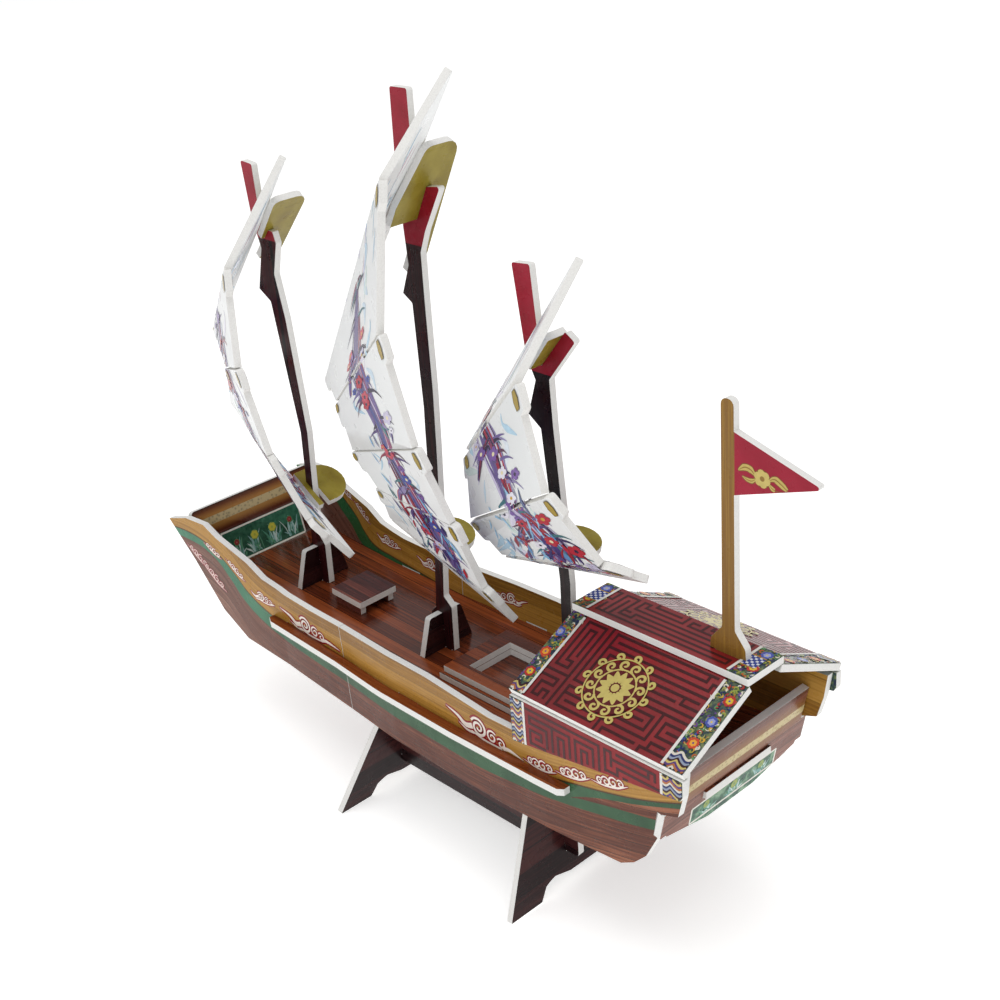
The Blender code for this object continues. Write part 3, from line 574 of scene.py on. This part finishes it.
def bulkhead_paint(tree, at):
    wood = planks(tree, at["y"], at["z"], ("#43241f", "#5d3730", "#7c5148"), 5.0, "#2e1815")
    height = add(tree, "MapRange", {0: at["z"], 1: 70.0, 2: 82.6})[0]
    glow = add(tree, "ValToRGB", {0: height}, stops=[
        (0.0, "#3f1d14"), (0.14, "#5f2c17"), (0.28, "#9a6a34"), (0.5, "#b98d4c"), (0.68, "#a9743a"),
        (0.84, "#6e3c20"), (0.97, "#2c1818")])[0]
    top = cream_band(tree, at, glow, 76.3, 0.8, (0.15, "#96886a"), (0.5, "#c4b186"))
    upper = add(tree, "Math", {0: at["z"], 1: 71.0}, operation="GREATER_THAN")[0]
    tint = add(tree, "Mix", {0: upper, 6: wood, 7: top}, data_type="RGBA")[2]
    green = mottled(tree, at, 0.5, 3.0, (0.35, "#2b5f4a"), (0.65, "#447d64"))
    return green_panel(tree, at, tint, 19.0, 70.2, green)


stem_print = wood_print("y", "z", ("#5f4338", "#7d5d50", "#937264"), 4.6, "#46302a")
dress(printed_board("laminated_transom_print", transom_paint, TRANSOM_FACING), "stern_board")
dress(printed_board("laminated_bulkhead_print", bulkhead_paint, BULKHEAD_FACING), "bow_board")
dress(printed_board("laminated_stem_print", stem_print, STEM_FACING), "bow_plate")


def flower(x, y, r, petal, heart, petals=6):
    """An open blossom of round petals and a small heart."""
    angles = [2 * math.pi * k / petals + 0.3 for k in range(petals)]
    return [disc(petal, x + 0.62 * r * math.cos(a), y + 0.62 * r * math.sin(a), 0.48 * r, sides=10)
            for a in angles] + [disc(heart, x, y, 0.32 * r, sides=10)]


def panel_frame(tint, half, low, high, width):
    """A thin ruled frame round a printed panel: head, foot and the two uprights."""
    return [stroke(tint, line, [width], False) for line in (
        [(-half, high), (half, high)], [(-half, low), (half, low)],
        [(-half, low), (-half, high)], [(half, low), (half, high)])]


BLADE_TINTS = ("#8fb9b6", "#6fa5a0", "#a9cdc8", "#4f8a72", "#c9dcd6", "#5f9a7a")


def garden(half, low, high, seed, blossoms):
    """A garden panel: tufts of leaning blades in a thin frame, with a blossom over each tuft."""
    rng = random.Random(seed)
    drawing = panel_frame("#e9e6dc", half, low, high, 0.7)
    middle = 0.5 * (low + high)
    for x, r, _, _ in blossoms:
        for _ in range(int(16 * r)):
            lean = rng.uniform(-1.0, 1.0)
            rise = rng.uniform(0.2, 0.75) * (high - low)
            tint = rng.choice(BLADE_TINTS)
            root = x + rng.uniform(-2.6, 2.6)
            drawing.append(stroke(tint, [(root, low + 0.8), (root + 1.2 * lean, low + 0.6 * rise),
                                         (root + 3.4 * lean, low + rise)], (0.2, rng.uniform(0.4, 1.0), 0.1)))
    for x, r, petal, heart in blossoms:
        drawing.append(disc("#5f8f5a", x, middle + 1.0, 1.25 * r, sides=14))
        drawing += flower(x, middle + 1.0, r, petal, heart)
    return drawing


def leaning(x, z, facing):
    """Where a print lies on a board that leans fore and aft: u runs across the ship, v is the height."""
    out = Vector(facing)
    nx, _, nz = facing
    return lambda u, v: (Vector((x - (v - z) * nz / nx, u, v)) * MM, out)


bulkhead = garden(18.6, 57.4, 70.0, 4, [
    (-12.9, 1.1, "#8f3a3a", "#b5605a"), (-4.3, 1.6, "#c9c24a", "#a3b04a"), (4.3, 1.6, "#c9c24a", "#a3b04a"),
    (12.9, 1.1, "#8f3a3a", "#b5605a")])
for face, way in (("inner", -1.0), ("outer", 1.0)):
    lay_print("bulkhead_garden_" + face, bulkhead, leaning(124.0, 62.0, [way * c for c in BULKHEAD_FACING]),
              ["bow_board"])
transom = garden(20.0, 51.6, 57.6, 9, [
    (-13.0, 1.3, "#8f9f4a", "#5f8a5a"), (0.0, 1.4, "#9aa64f", "#5f8a5a"), (13.0, 1.3, "#8f9f4a", "#5f8a5a")])
lay_print("transom_garden", transom, leaning(-110.0, 55.0, TRANSOM_FACING), ["stern_board"])

# All four are cut from the same foam board and printed on both faces as dark wood.
FORWARDS = (1.0, 0.0, 0.0)


def dark_wood(along, across):
    return wood_print(along, across, ("#1b0c0e", "#2c1416", "#43201f"), 7.0, "#1a0d10", 0.04)


dress(printed_board("laminated_dark_wood_print_trestle", dark_wood("y", "z"), FORWARDS),
      "stand_aft", "stand_fore")
dress(printed_board("laminated_dark_wood_print_rail", dark_wood("x", "z"), SIDEWAYS),
      "port_stand_rail", "starboard_stand_rail")

# Cabin roof
# Two walls, two slopes and a top, slotted edge to edge. The print is a dark red ground with a brown
# key fret, a flower border beyond a white line at each end, and a gold roundel on each slope.
FRONT_EDGE, FRONT_LINE, REAR_LINE, REAR_EDGE = -54.0, -61.0, -115.4, -125.0
LINE_WIDTH = 0.95


def roof_paint(tree, at):
    centre = 0.5 * (FRONT_LINE + REAR_LINE)
    away = add(tree, "Math", {0: at["x"], 1: centre}, operation="SUBTRACT")[0]
    away = add(tree, "Math", {0: away}, operation="ABSOLUTE")[0]
    strip = add(tree, "Math", {0: away, 1: 0.5 * (FRONT_LINE - REAR_LINE)}, operation="GREATER_THAN")[0]
    red = mottled(tree, at, 0.05, 3.0, (0.3, "#6f171c"), (0.7, "#932126"))
    dark = mottled(tree, at, 0.7, 2.0, (0.35, "#202a46"), (0.5, "#384f44"), (0.65, "#6f7a4a"))
    return add(tree, "Mix", {0: strip, 6: red, 7: dark}, data_type="RGBA")[2]


FRET = "#43191c"
PITCH = 2.35


def fret(x0, x1, y0, y1, seed):
    """A key fret that fills a panel: one long labyrinth of turned lines on a square grid.

    A line walks on to a free corner of the grid, and turns now and then. Where it is shut in, it goes back
    along its own trail to the last corner with a way out. No more than three lines meet at a corner.
    """
    rng = random.Random(seed)
    columns, rows = round((x1 - x0) / PITCH), round((y1 - y0) / PITCH)
    px, py = (x1 - x0) / columns, (y1 - y0) / rows
    start = (0, rows // 2)
    arms, trail, way, drawing = {start: 0}, [start], (1, 0), []
    while trail:
        i, j = trail[-1]
        ways = [(a, b) for a, b in ((1, 0), (0, 1), (-1, 0), (0, -1))
                if 0 <= i + a <= columns and 0 <= j + b <= rows and (i + a, j + b) not in arms]
        if not ways or arms[(i, j)] > 2:
            trail.pop()
            continue
        if way not in ways or rng.random() < 0.22:
            way = ways[0] if rng.random() < 0.55 else rng.choice(ways)
        a, b = way
        arms[(i, j)] += 1
        arms[(i + a, j + b)] = 1
        trail.append((i + a, j + b))
        ends = [(x0 + (i + t * a) * px, y0 + (j + t * b) * py) for t in (-0.2, 1.2)]
        drawing.append(stroke(FRET, ends, [LINE_WIDTH], False))
    return drawing


BORDER_TINTS = ("#3d4f9a", "#8f9a45", "#a8362f", "#cfa43a", "#dcd6c4", "#6a4a8c", "#5f8f5f", "#b9602f",
                "#26305a", "#a3a35c")
BORDER_FLOWERS = (("#c9482f", "#e3a23a", "#5a3f7a"), ("#4a58a8", "#9aa0d0", "#d8c24a"),
                  ("#b5342f", "#d9b93a", "#3d4f9a"))
FLOWER_STEP = 8.0


def border(x0, x1, y0, y1, seed):
    """A strip of leaf scrolls and blossoms in many colours."""
    rng = random.Random(seed)
    drawing = []
    for _ in range(int(abs(x1 - x0) * abs(y1 - y0) / 1.5)):
        x, y = rng.uniform(x0, x1), rng.uniform(y0, y1)
        curl = spiral(x, y, rng.uniform(0.5, 1.3), 0.15, rng.uniform(0.35, 0.9), rng.uniform(0, 6.28),
                      rng.choice((-1, 1)), 8)
        drawing.append(stroke(rng.choice(BORDER_TINTS), curl, (0.15, rng.uniform(0.35, 0.75), 0.15)))
    for k in range(int((y1 - y0) / FLOWER_STEP)):
        outer, petal, heart = BORDER_FLOWERS[(k + seed) % 3]
        x, y = 0.5 * (x0 + x1) + rng.uniform(-0.9, 0.9), y0 + (k + 0.5) * FLOWER_STEP
        drawing += flower(x, y, 1.75, outer, heart, 7) + flower(x, y, 1.05, petal, heart)
    return drawing


WAVE_TINTS = ("#2c3566", "#d9d3c6", "#b06a3a", "#5a3f7a", "#c9b56a", "#3a2026", "#8f9ab0")
WAVE_STEP, WAVE_WIDTH = 0.72, 0.74
SWELL = (0.0, 0.9, -0.5)


def waves(x0, x1, y0, y1):
    """The foot of a border: wavy stripes, one under the other."""
    drawing = []
    for k in range(int((y1 - y0) / WAVE_STEP)):
        y = y0 + WAVE_STEP * k
        line = [(x0 + (x1 - x0) * t / 6.0, y + SWELL[t % 3]) for t in range(7)]
        drawing.append(stroke(WAVE_TINTS[k % len(WAVE_TINTS)], line, [WAVE_WIDTH]))
    return drawing


SQUARE, INSET = 0.95, 0.1


def check(x0, x1, y0, y1):
    """A blue and white check between two ochre rules, in the middle of the roof's top."""
    drawing = [shape("#2f3f86", [(x0, y0), (x1, y0), (x1, y1), (x0, y1)])]
    columns, rows = round((x1 - x0) / SQUARE), round((y1 - y0) / SQUARE)
    px, py = (x1 - x0) / columns, (y1 - y0) / rows
    for i in range(columns):
        for j in range(rows):
            if (i + j) % 2:
                left, right = x0 + i * px + INSET, x0 + i * px + px - INSET
                low, high = y0 + j * py + INSET, y0 + j * py + py - INSET
                drawing.append(shape("#d5d6de", [(left, low), (right, low), (right, high), (left, high)]))
    return drawing + [stroke("#a8843a", [(x0, y), (x1, y)], [0.5], False) for y in (y0, y1)]


def rules(y0, y1):
    """The two white lines between the fret and the borders."""
    return [stroke("#dfddd8", [(x, y0), (x, y1)], [LINE_WIDTH], False) for x in (FRONT_LINE, REAR_LINE)]


GOLD = "#c4b468"


def roundel(x, y, r):
    """A plain round ornament: a petalled heart in a ring, with curls round the rim."""
    def along(distance, angle):
        return x + distance * r * math.cos(angle), y + distance * r * math.sin(angle)

    def hook(distance, angle, start, turns, wound, way):
        curl = spiral(*along(distance, angle), start * r, 0.03 * r, turns, wound, way)
        return stroke(GOLD, curl, (0.07 * r, 0.08 * r, 0.05 * r))

    drawing = [disc("#5a1a1c", x, y, 0.82 * r, sides=36)]
    for k in range(12):
        a = 2 * math.pi * k / 12
        b = a + math.pi / 12
        drawing.append(stroke(GOLD, [along(0.16, a), along(0.36, a), along(0.52, a)],
                              (0.06 * r, 0.21 * r, 0.03 * r)))
        drawing.append(hook(0.72, b, 0.15, 1.1, b + 3.14, 1))
        drawing.append(hook(0.98, a, 0.12, 1.0, a + 2.4, -1))
    for ring, width in ((0.57, 0.045), (0.9, 0.04)):
        circle = [along(ring, 2 * math.pi * i / 48) for i in range(49)]
        drawing.append(stroke(GOLD, circle, [width * r], False))
    return drawing + [disc(GOLD, x, y, 0.12 * r)]


SLOPE_SIN, SLOPE_COS = 0.4264, 0.9045
EAVES_Y, EAVES_Z = 37.2, 84.3
RIDGE_TOP = 100.9


def slope_spot(way):
    """Where a print lies on a slope: u runs forward, v up the slope from the eaves."""
    out = Vector((0.0, way * SLOPE_SIN, SLOPE_COS))
    return lambda u, v: (Vector((u, way * (EAVES_Y - SLOPE_COS * v), EAVES_Z + SLOPE_SIN * v)) * MM, out)


# The roof's film has more gloss than the hull's, so the soft box shows on the slopes.
ROOF_GLOSS, ROOF_SHINE = (0.16, 0.26), 0.5
dress(printed_board("laminated_lattice_print_wall", roof_paint, SIDEWAYS), "port_wall", "starboard_wall")
dress(printed_board("laminated_lattice_print_top", roof_paint, UPWARDS, ROOF_GLOSS, ROOF_SHINE), "roof_top")
for hand, way in (("port", 1), ("starboard", -1)):
    slope_print = printed_board("laminated_lattice_print_%s_slope" % hand, roof_paint,
                                (0.0, way * SLOPE_SIN, SLOPE_COS), ROOF_GLOSS, ROOF_SHINE)
    dress(slope_print, hand + "_roof_slope")
    lay_print(hand + "_slope_ornament", fret(REAR_LINE, FRONT_LINE, -0.2, 33.4, 3)
              + border(FRONT_LINE, FRONT_EDGE, 4.0, 33.4, 5) + border(REAR_EDGE, REAR_LINE, 6.0, 33.4, 6)
              + waves(FRONT_LINE, FRONT_EDGE, -0.6, 4.4) + waves(REAR_EDGE, REAR_LINE, -0.6, 6.4)
              + rules(-0.6, 34.0) + roundel(-86.8, 14.8, 11.4), slope_spot(way), [hand + "_roof_slope"])
    lay_print(hand + "_wall_ornament", fret(REAR_LINE, FRONT_LINE, 61.0, 82.2, 8)
              + waves(FRONT_LINE, FRONT_EDGE, 60.0, 84.0) + waves(REAR_EDGE, REAR_LINE, 68.0, 84.0)
              + rules(58.0, 84.0), abeam(way * EAVES_Y, way), [hand + "_wall"])
lay_print("roof_top_ornament", fret(REAR_LINE, FRONT_LINE, -8.2, 8.2, 12)
          + border(FRONT_LINE, FRONT_EDGE, -9.0, 9.0, 1) + border(REAR_EDGE, REAR_LINE, -9.0, 9.0, 4)
          + check(FRONT_LINE + 0.4, -55.4, -3.0, 3.0) + check(-121.0, REAR_LINE - 0.4, -3.0, 3.0)
          + rules(-9.0, 9.0), lambda u, v: (Vector((u, v, RIDGE_TOP)) * MM, Vector((0, 0, 1))),
          ["roof_top"])

# Flag
# A pole with a round foot and a pennant, cut as one board that stands in a slot of the roof's top.
# The pole is printed as one strip of light wood, and the pennant crimson with a gold flower and leaves.
POLE_EDGE, PENNANT_FOOT = -112.9, 140.0


def flag_paint(tree, at):
    pole = planks(tree, at["z"], at["x"], ("#85602a", "#a07a34", "#b38d45"), 40.0, "#85602a", 0.03)
    aft = add(tree, "Math", {0: at["x"], 1: POLE_EDGE}, operation="LESS_THAN")[0]
    high = add(tree, "Math", {0: at["z"], 1: PENNANT_FOOT}, operation="GREATER_THAN")[0]
    cloth = add(tree, "Math", {0: aft, 1: high}, operation="MULTIPLY")[0]
    crimson = mottled(tree, at, 0.1, 2.0, (0.3, "#930f2a"), (0.7, "#a31734"))
    return add(tree, "Mix", {0: cloth, 6: pole, 7: crimson}, data_type="RGBA")[2]


dress(printed_board("laminated_flag_print", flag_paint, SIDEWAYS), "flag")
LEAVES = [
    ([(-120.0, 160.2), (-118.4, 161.6), (-116.4, 161.8), (-114.2, 160.4)], (0.4, 2.0, 1.8, 0.2)),
    ([(-120.2, 159.4), (-118.8, 158.4), (-117.2, 158.4), (-115.6, 159.0)], (0.3, 1.3, 1.1, 0.2)),
    ([(-124.4, 160.0), (-126.2, 161.0), (-128.2, 160.2), (-131.4, 158.2)], (0.4, 2.0, 1.8, 0.2)),
    ([(-124.2, 159.2), (-125.6, 158.0), (-127.2, 157.7), (-129.0, 158.0)], (0.3, 1.3, 1.1, 0.2))]
leaf_scroll = ([stroke("#7a5226", line, [w + 0.45 for w in widths]) for line, widths in LEAVES]
               + [disc("#7a5226", -122.2, 160.0, 2.7, sides=20)]
               + [stroke("#c2ac5e", line, widths) for line, widths in LEAVES]
               + [stroke("#8f6f30", line, [0.2 * w for w in widths]) for line, widths in LEAVES]
               + flower(-122.2, 160.0, 2.5, "#c9b568", "#8f6f30"))
for side, way in (("port", 1), ("starboard", -1)):
    lay_print("pennant_scroll_" + side, leaf_scroll, abeam(way * 1.25, way), ["flag"])

# Masts and their brackets
# A mast is one upright board, forked at the top, that stands through the deck in a cross bracket.
# It is printed as very dark wood, and crimson from a height of its own up to the fork's tips.
MAIN_RED, MIZZEN_RED, FORE_RED = 201.5, 171.0, 190.0
AFT_OF_MAIN, AHEAD_OF_MAIN = -25.0, 60.0


def mast_paint(tree, at):
    wood = planks(tree, at["z"], at["x"], ("#170a0c", "#261013", "#431619"), 30.0, "#170a0c", 0.02)
    mizzen = add(tree, "Math", {0: at["x"], 1: AFT_OF_MAIN}, operation="LESS_THAN")[0]
    fore = add(tree, "Math", {0: at["x"], 1: AHEAD_OF_MAIN}, operation="GREATER_THAN")[0]
    start = add(tree, "Mix", {0: mizzen, 2: MAIN_RED, 3: MIZZEN_RED}, data_type="FLOAT")[0]
    start = add(tree, "Mix", {0: fore, 2: start, 3: FORE_RED}, data_type="FLOAT")[0]
    tip = add(tree, "Math", {0: at["z"], 1: start}, operation="GREATER_THAN")[0]
    crimson = mottled(tree, at, 0.12, 2.0, (0.3, "#8c1124"), (0.7, "#9f1a31"))
    return add(tree, "Mix", {0: tip, 6: wood, 7: crimson}, data_type="RGBA")[2]


dress(printed_board("laminated_mast_print", mast_paint, SIDEWAYS), "main_mast", "fore_mast", "mizzen_mast")
dress(printed_board("laminated_bracket_print", dark_wood("y", "z"), FORWARDS),
      "main_foot_bracket", "fore_foot_bracket", "mizzen_foot_bracket")

# Gold boards
# Small flat boards that carry the sails: one in the fork and one low on the mast, printed in a
# flat old gold on both faces. Each faces its own way, so each has a print of its own.
def facing_of(name):
    """The way a flat board faces, from its largest face."""
    largest = max(boards[name].data.polygons, key=lambda face: face.area)
    return tuple(largest.normal)


def gold_paint(tree, at):
    return mottled(tree, at, 0.12, 4.0, (0.3, "#7f6d20"), (0.5, "#90802c"), (0.7, "#a0903c"))


for rig in ("main", "fore", "mizzen"):
    for part in ("upper", "lower"):
        name = "%s_gold_%s" % (rig, part)
        dress(printed_board("laminated_gold_print_" + name, gold_paint, facing_of(name)), name)

# Sails
# Each sail is a fan of flat white boards that meet along creases and sit in slots of the gold boards.
# The print is loose brushwork, flowering boughs over pale washes, with a gold tab at each crease's end.
def sail_paint(tree, at):
    return mottled(tree, at, 0.03, 2.0, (0.3, "#e6e8e8"), (0.7, "#eeefef"))


# Each sail's rig, its count of panels, the apex of its fan and its near edge from the head down, in mm
# before the shift to the part's frame, and the share of the way from apex to edge where each crease starts.
SHIFT = Vector((16.56, 0.0, -13.29))
SAILS = [
    ("main", 6, (85.2, -12.0, 115.3),
     [(-31.7, 2.9, 272.0), (-21.7, 24.0, 242.3), (-21.0, 30.0, 197.5), (-32.0, 30.0, 164.0),
      (-38.9, 24.0, 138.4), (-39.7, 13.8, 111.5), (-41.3, 2.6, 94.6)], (0.34, 0.49, 0.50, 0.555, 0.52)),
    ("mizzen", 4, (32.0, -14.0, 93.7),
     [(-80.3, 2.9, 225.6), (-70.2, 22.0, 190.7), (-81.1, 24.0, 160.8), (-91.4, 13.4, 137.6),
      (-100.5, 3.2, 131.4)], (0.62, 0.54, 0.55)),
    ("fore", 5, (146.3, -12.0, 136.6),
     [(53.8, 2.9, 237.1), (70.0, 22.0, 198.6), (62.3, 28.0, 167.2), (56.8, 24.0, 134.7),
      (52.4, 14.6, 107.2), (44.1, 2.8, 89.1)], (0.45, 0.70, 0.42, 0.49)),
]


def sail_spot(apex, near, side):
    """u runs in from the near edge towards the fan's apex, v down the near edge."""
    apex = (Vector(apex) + SHIFT) * MM
    near = [(Vector(p) + SHIFT) * MM for p in near]

    def spot(u, v):
        left = max(v, 0.0) * MM
        for a, b in zip(near, near[1:]):
            length = (b - a).length
            if left <= length or b is near[-1]:
                break
            left -= length
        start = a + (b - a) * (left / length)
        out = (a - apex).cross(b - apex).normalized()
        out = out if out.y > 0 else -out
        return start + (apex - start).normalized() * u * MM, out * side

    return spot


INKS = ("#3a2f5c", "#54427a", "#6f5f96", "#8f84ae", "#2f2440", "#5a2f4a", "#a5323f", "#b9485a", "#c9c0da",
        "#47508f")
TUFT_INKS = INKS[:6] + ("#3f6f78", "#8c2f48")
WASHES = ("#c9dcea", "#dcd8ea", "#d3e3de", "#e0e8f0", "#b4d3e6")
HEAD_WASHES = ("#c3daea", "#cfcbe4", "#a9c9e0", "#e2cdd6")
TWIG_INKS = ("#4b7f86", "#5c6a90", "#8c8fa8", "#7fb0d8", "#9cc6e4", "#4a3a7c")
SPLASH_INKS = ("#3f3476", "#2f2f6a", "#8f2436", "#b32a3c", "#5f8fc0", "#8fbbe0", "#54427a")
PETALS = ("#b32a3c", "#c2485a", "#7b5aa0", "#3f4fa0", "#c9c3dc", "#e6e3ee")
HEARTS = ("#e6d9b0", "#c9a040", "#2f2440")


def bough(rng, points, widths):
    """A brushed bough: many dry strands of ink side by side, with tufts of twigs along both edges.

    The sail is seen from close to its own plane, so the brush is broad across the sail.
    """
    drawing = [stroke("#675a88", points, [0.5 * w for w in widths])]
    last = len(points) - 1
    broad = [widths[j * len(widths) // (last + 1)] for j in range(last + 1)]
    for _ in range(34):
        share = rng.uniform(-0.5, 0.5)
        first = rng.randrange(0, max(1, last - 2))
        end = min(last, first + rng.randrange(2, last + 1))
        line = []
        for (x, y), breadth in zip(points[first:end + 1], broad[first:end + 1]):
            line.append((x + share * breadth + rng.uniform(-0.5, 0.5), y + rng.uniform(-1.0, 1.0)))
        tint = "#9f2b3c" if abs(share + 0.12) < 0.07 else rng.choice(INKS)
        drawing.append(stroke(tint, line, (0.15, rng.uniform(0.8, 2.4), rng.uniform(0.6, 1.8), 0.1)))
    for _ in range(54):
        j = rng.randrange(0, last + 1)
        x, y = points[j]
        way = rng.choice((-1, 1))
        reach, drop = rng.uniform(3.0, 12.0), rng.uniform(0.5, 6.0)
        x, y = x + way * 0.4 * broad[j], y + rng.uniform(-3.0, 3.0)
        drawing.append(stroke(rng.choice(TUFT_INKS),
                              [(x - way * 1.5, y), (x + way * 0.5 * reach, y + 0.3 * drop),
                               (x + way * reach, y + drop)], (rng.uniform(1.2, 2.4), 1.0, 0.1)))
    return drawing


def blossom(x, y, r, petal, heart):
    """A blossom in quick brush dabs, broad across the sail as the boughs are."""
    dabs = []
    for k in range(5):
        a = 2 * math.pi * k / 5 + 0.4
        dabs.append(disc(petal, x + 1.1 * r * math.cos(a), y + 0.6 * r * math.sin(a), 0.75 * r, 0.44 * r, 12))
    return dabs + [disc(heart, x, y, 0.5 * r, 0.3 * r, 10)]


# The main bough runs down a sail by these places: u across it, v as a share of the bough's length.
SPINE = [(38, 0.0), (37, 0.1), (33, 0.22), (31, 0.34), (27, 0.46), (25, 0.57), (22, 0.68), (20, 0.78),
         (17, 0.89), (15, 1.0)]
SPINE_WIDTHS = (6, 13, 18, 16, 12, 11, 14, 20, 17, 8)
SIDE_BOUGHS = ((2, 15), (6, 16), (7, -9), (8, 11))


def sail_drawing(rng, start, end):
    """Brushwork down a sail: pale washes, a knotted flowering bough, dry twigs and blossoms."""
    drawing = []
    for _ in range(26):
        x, y = rng.uniform(10, 54), rng.uniform(0.3 * start, end)
        drawing.append(stroke(rng.choice(WASHES),
                              [(x, y), (x + rng.uniform(-5, 5), y + 4), (x + rng.uniform(-9, 9), y + 10)],
                              (0.4, rng.uniform(1.5, 5.0), 0.3)))
    for _ in range(16):
        x, y = rng.uniform(3, 26), rng.uniform(0.25 * start, start)
        drawing.append(stroke(rng.choice(HEAD_WASHES),
                              [(x, y), (x + 1.5, y + 4), (x + rng.uniform(1, 6), y + 9)],
                              (0.3, rng.uniform(1.0, 2.6), 0.2)))
    length = end - start
    spine = [(x + rng.uniform(-1.5, 1.5), start + length * y) for x, y in SPINE]
    drawing += bough(rng, spine, SPINE_WIDTHS)
    for k, lean in SIDE_BOUGHS:
        x, y = spine[k]
        side = [(x, y), (x + 0.35 * lean, y + 2.0), (x + 0.7 * lean, y + 5.0), (x + lean, y + 11.0)]
        drawing += bough(rng, side, (5, 4, 3, 2))[:22]
    for _ in range(30):
        x, y = rng.uniform(8, 50), rng.uniform(start + 0.45 * length, end)
        lean = rng.uniform(-6, 6)
        drawing.append(stroke(rng.choice(TWIG_INKS),
                              [(x, y), (x + 0.4 * lean, y + 3.5), (x + lean, y + rng.uniform(6, 10))],
                              (0.1, rng.uniform(0.6, 2.2), 0.08)))
    for _ in range(36):
        x, y = 22 + rng.uniform(-15, 17), end - rng.uniform(0.0, 0.26) * length
        lean = rng.uniform(-7, 7)
        drawing.append(stroke(rng.choice(SPLASH_INKS),
                              [(x, y), (x + 0.5 * lean, y + 2.4), (x + lean, y + rng.uniform(4, 8))],
                              (0.3, rng.uniform(1.0, 3.4), 0.1)))
    for _ in range(22):
        x, y = rng.choice(spine[1:])
        x, y = x + rng.uniform(-12, 12), y + rng.uniform(-5, 5)
        petal = rng.choice(PETALS)
        drawing += blossom(x, y, rng.uniform(1.2, 2.6), petal, rng.choice(HEARTS))
    return drawing


# The sails' film is satin and nearly without ripples, so that they stay an even white.
SAIL_GLOSS, SAIL_SHINE, SAIL_RIPPLES = (0.26, 0.38), 0.4, 0.08
# A gold tab lies at each end of a crease: its rim and its face, with half its length and its widths in mm.
TAB_INSET, TAB_MIDDLE = 0.4, 3.8
TAB_LAYERS = (("#6b5a2c", 3.0, (2.4, 4.2, 2.4)), ("#a58d3a", 2.7, (1.8, 3.5, 1.8)))
BRUSHWORK_FROM, BRUSHWORK_TO = 0.26, 0.90
for order, (rig, count, apex, near, shares) in enumerate(SAILS):
    names = ["%s_sail_panel_%d" % (rig, k + 1) for k in range(count)]
    for name in names:
        white_print = printed_board("laminated_white_print_" + name, sail_paint, facing_of(name), SAIL_GLOSS,
                                    SAIL_SHINE, SAIL_RIPPLES)
        dress(white_print, name)
    steps = [(Vector(b) - Vector(a)).length for a, b in zip(near, near[1:])]
    length = sum(steps)
    art = sail_drawing(random.Random(11 + order), BRUSHWORK_FROM * length, BRUSHWORK_TO * length)
    tabs = []
    down = 0.0
    for step, share, corner in zip(steps, shares, near[1:]):
        down += step
        reach = (1.0 - share) * (Vector(apex) - Vector(corner)).length
        for u in (TAB_INSET, reach - TAB_INSET):
            for tint, half, widths in TAB_LAYERS:
                middle = down + TAB_MIDDLE
                tabs.append(stroke(tint, [(u, middle - half), (u, middle), (u, middle + half)], widths))
    for side, word in ((1, "port"), (-1, "starboard")):
        lay_print("%s_sail_brushwork_%s" % (rig, word), art + tabs, sail_spot(apex, near, side), names)
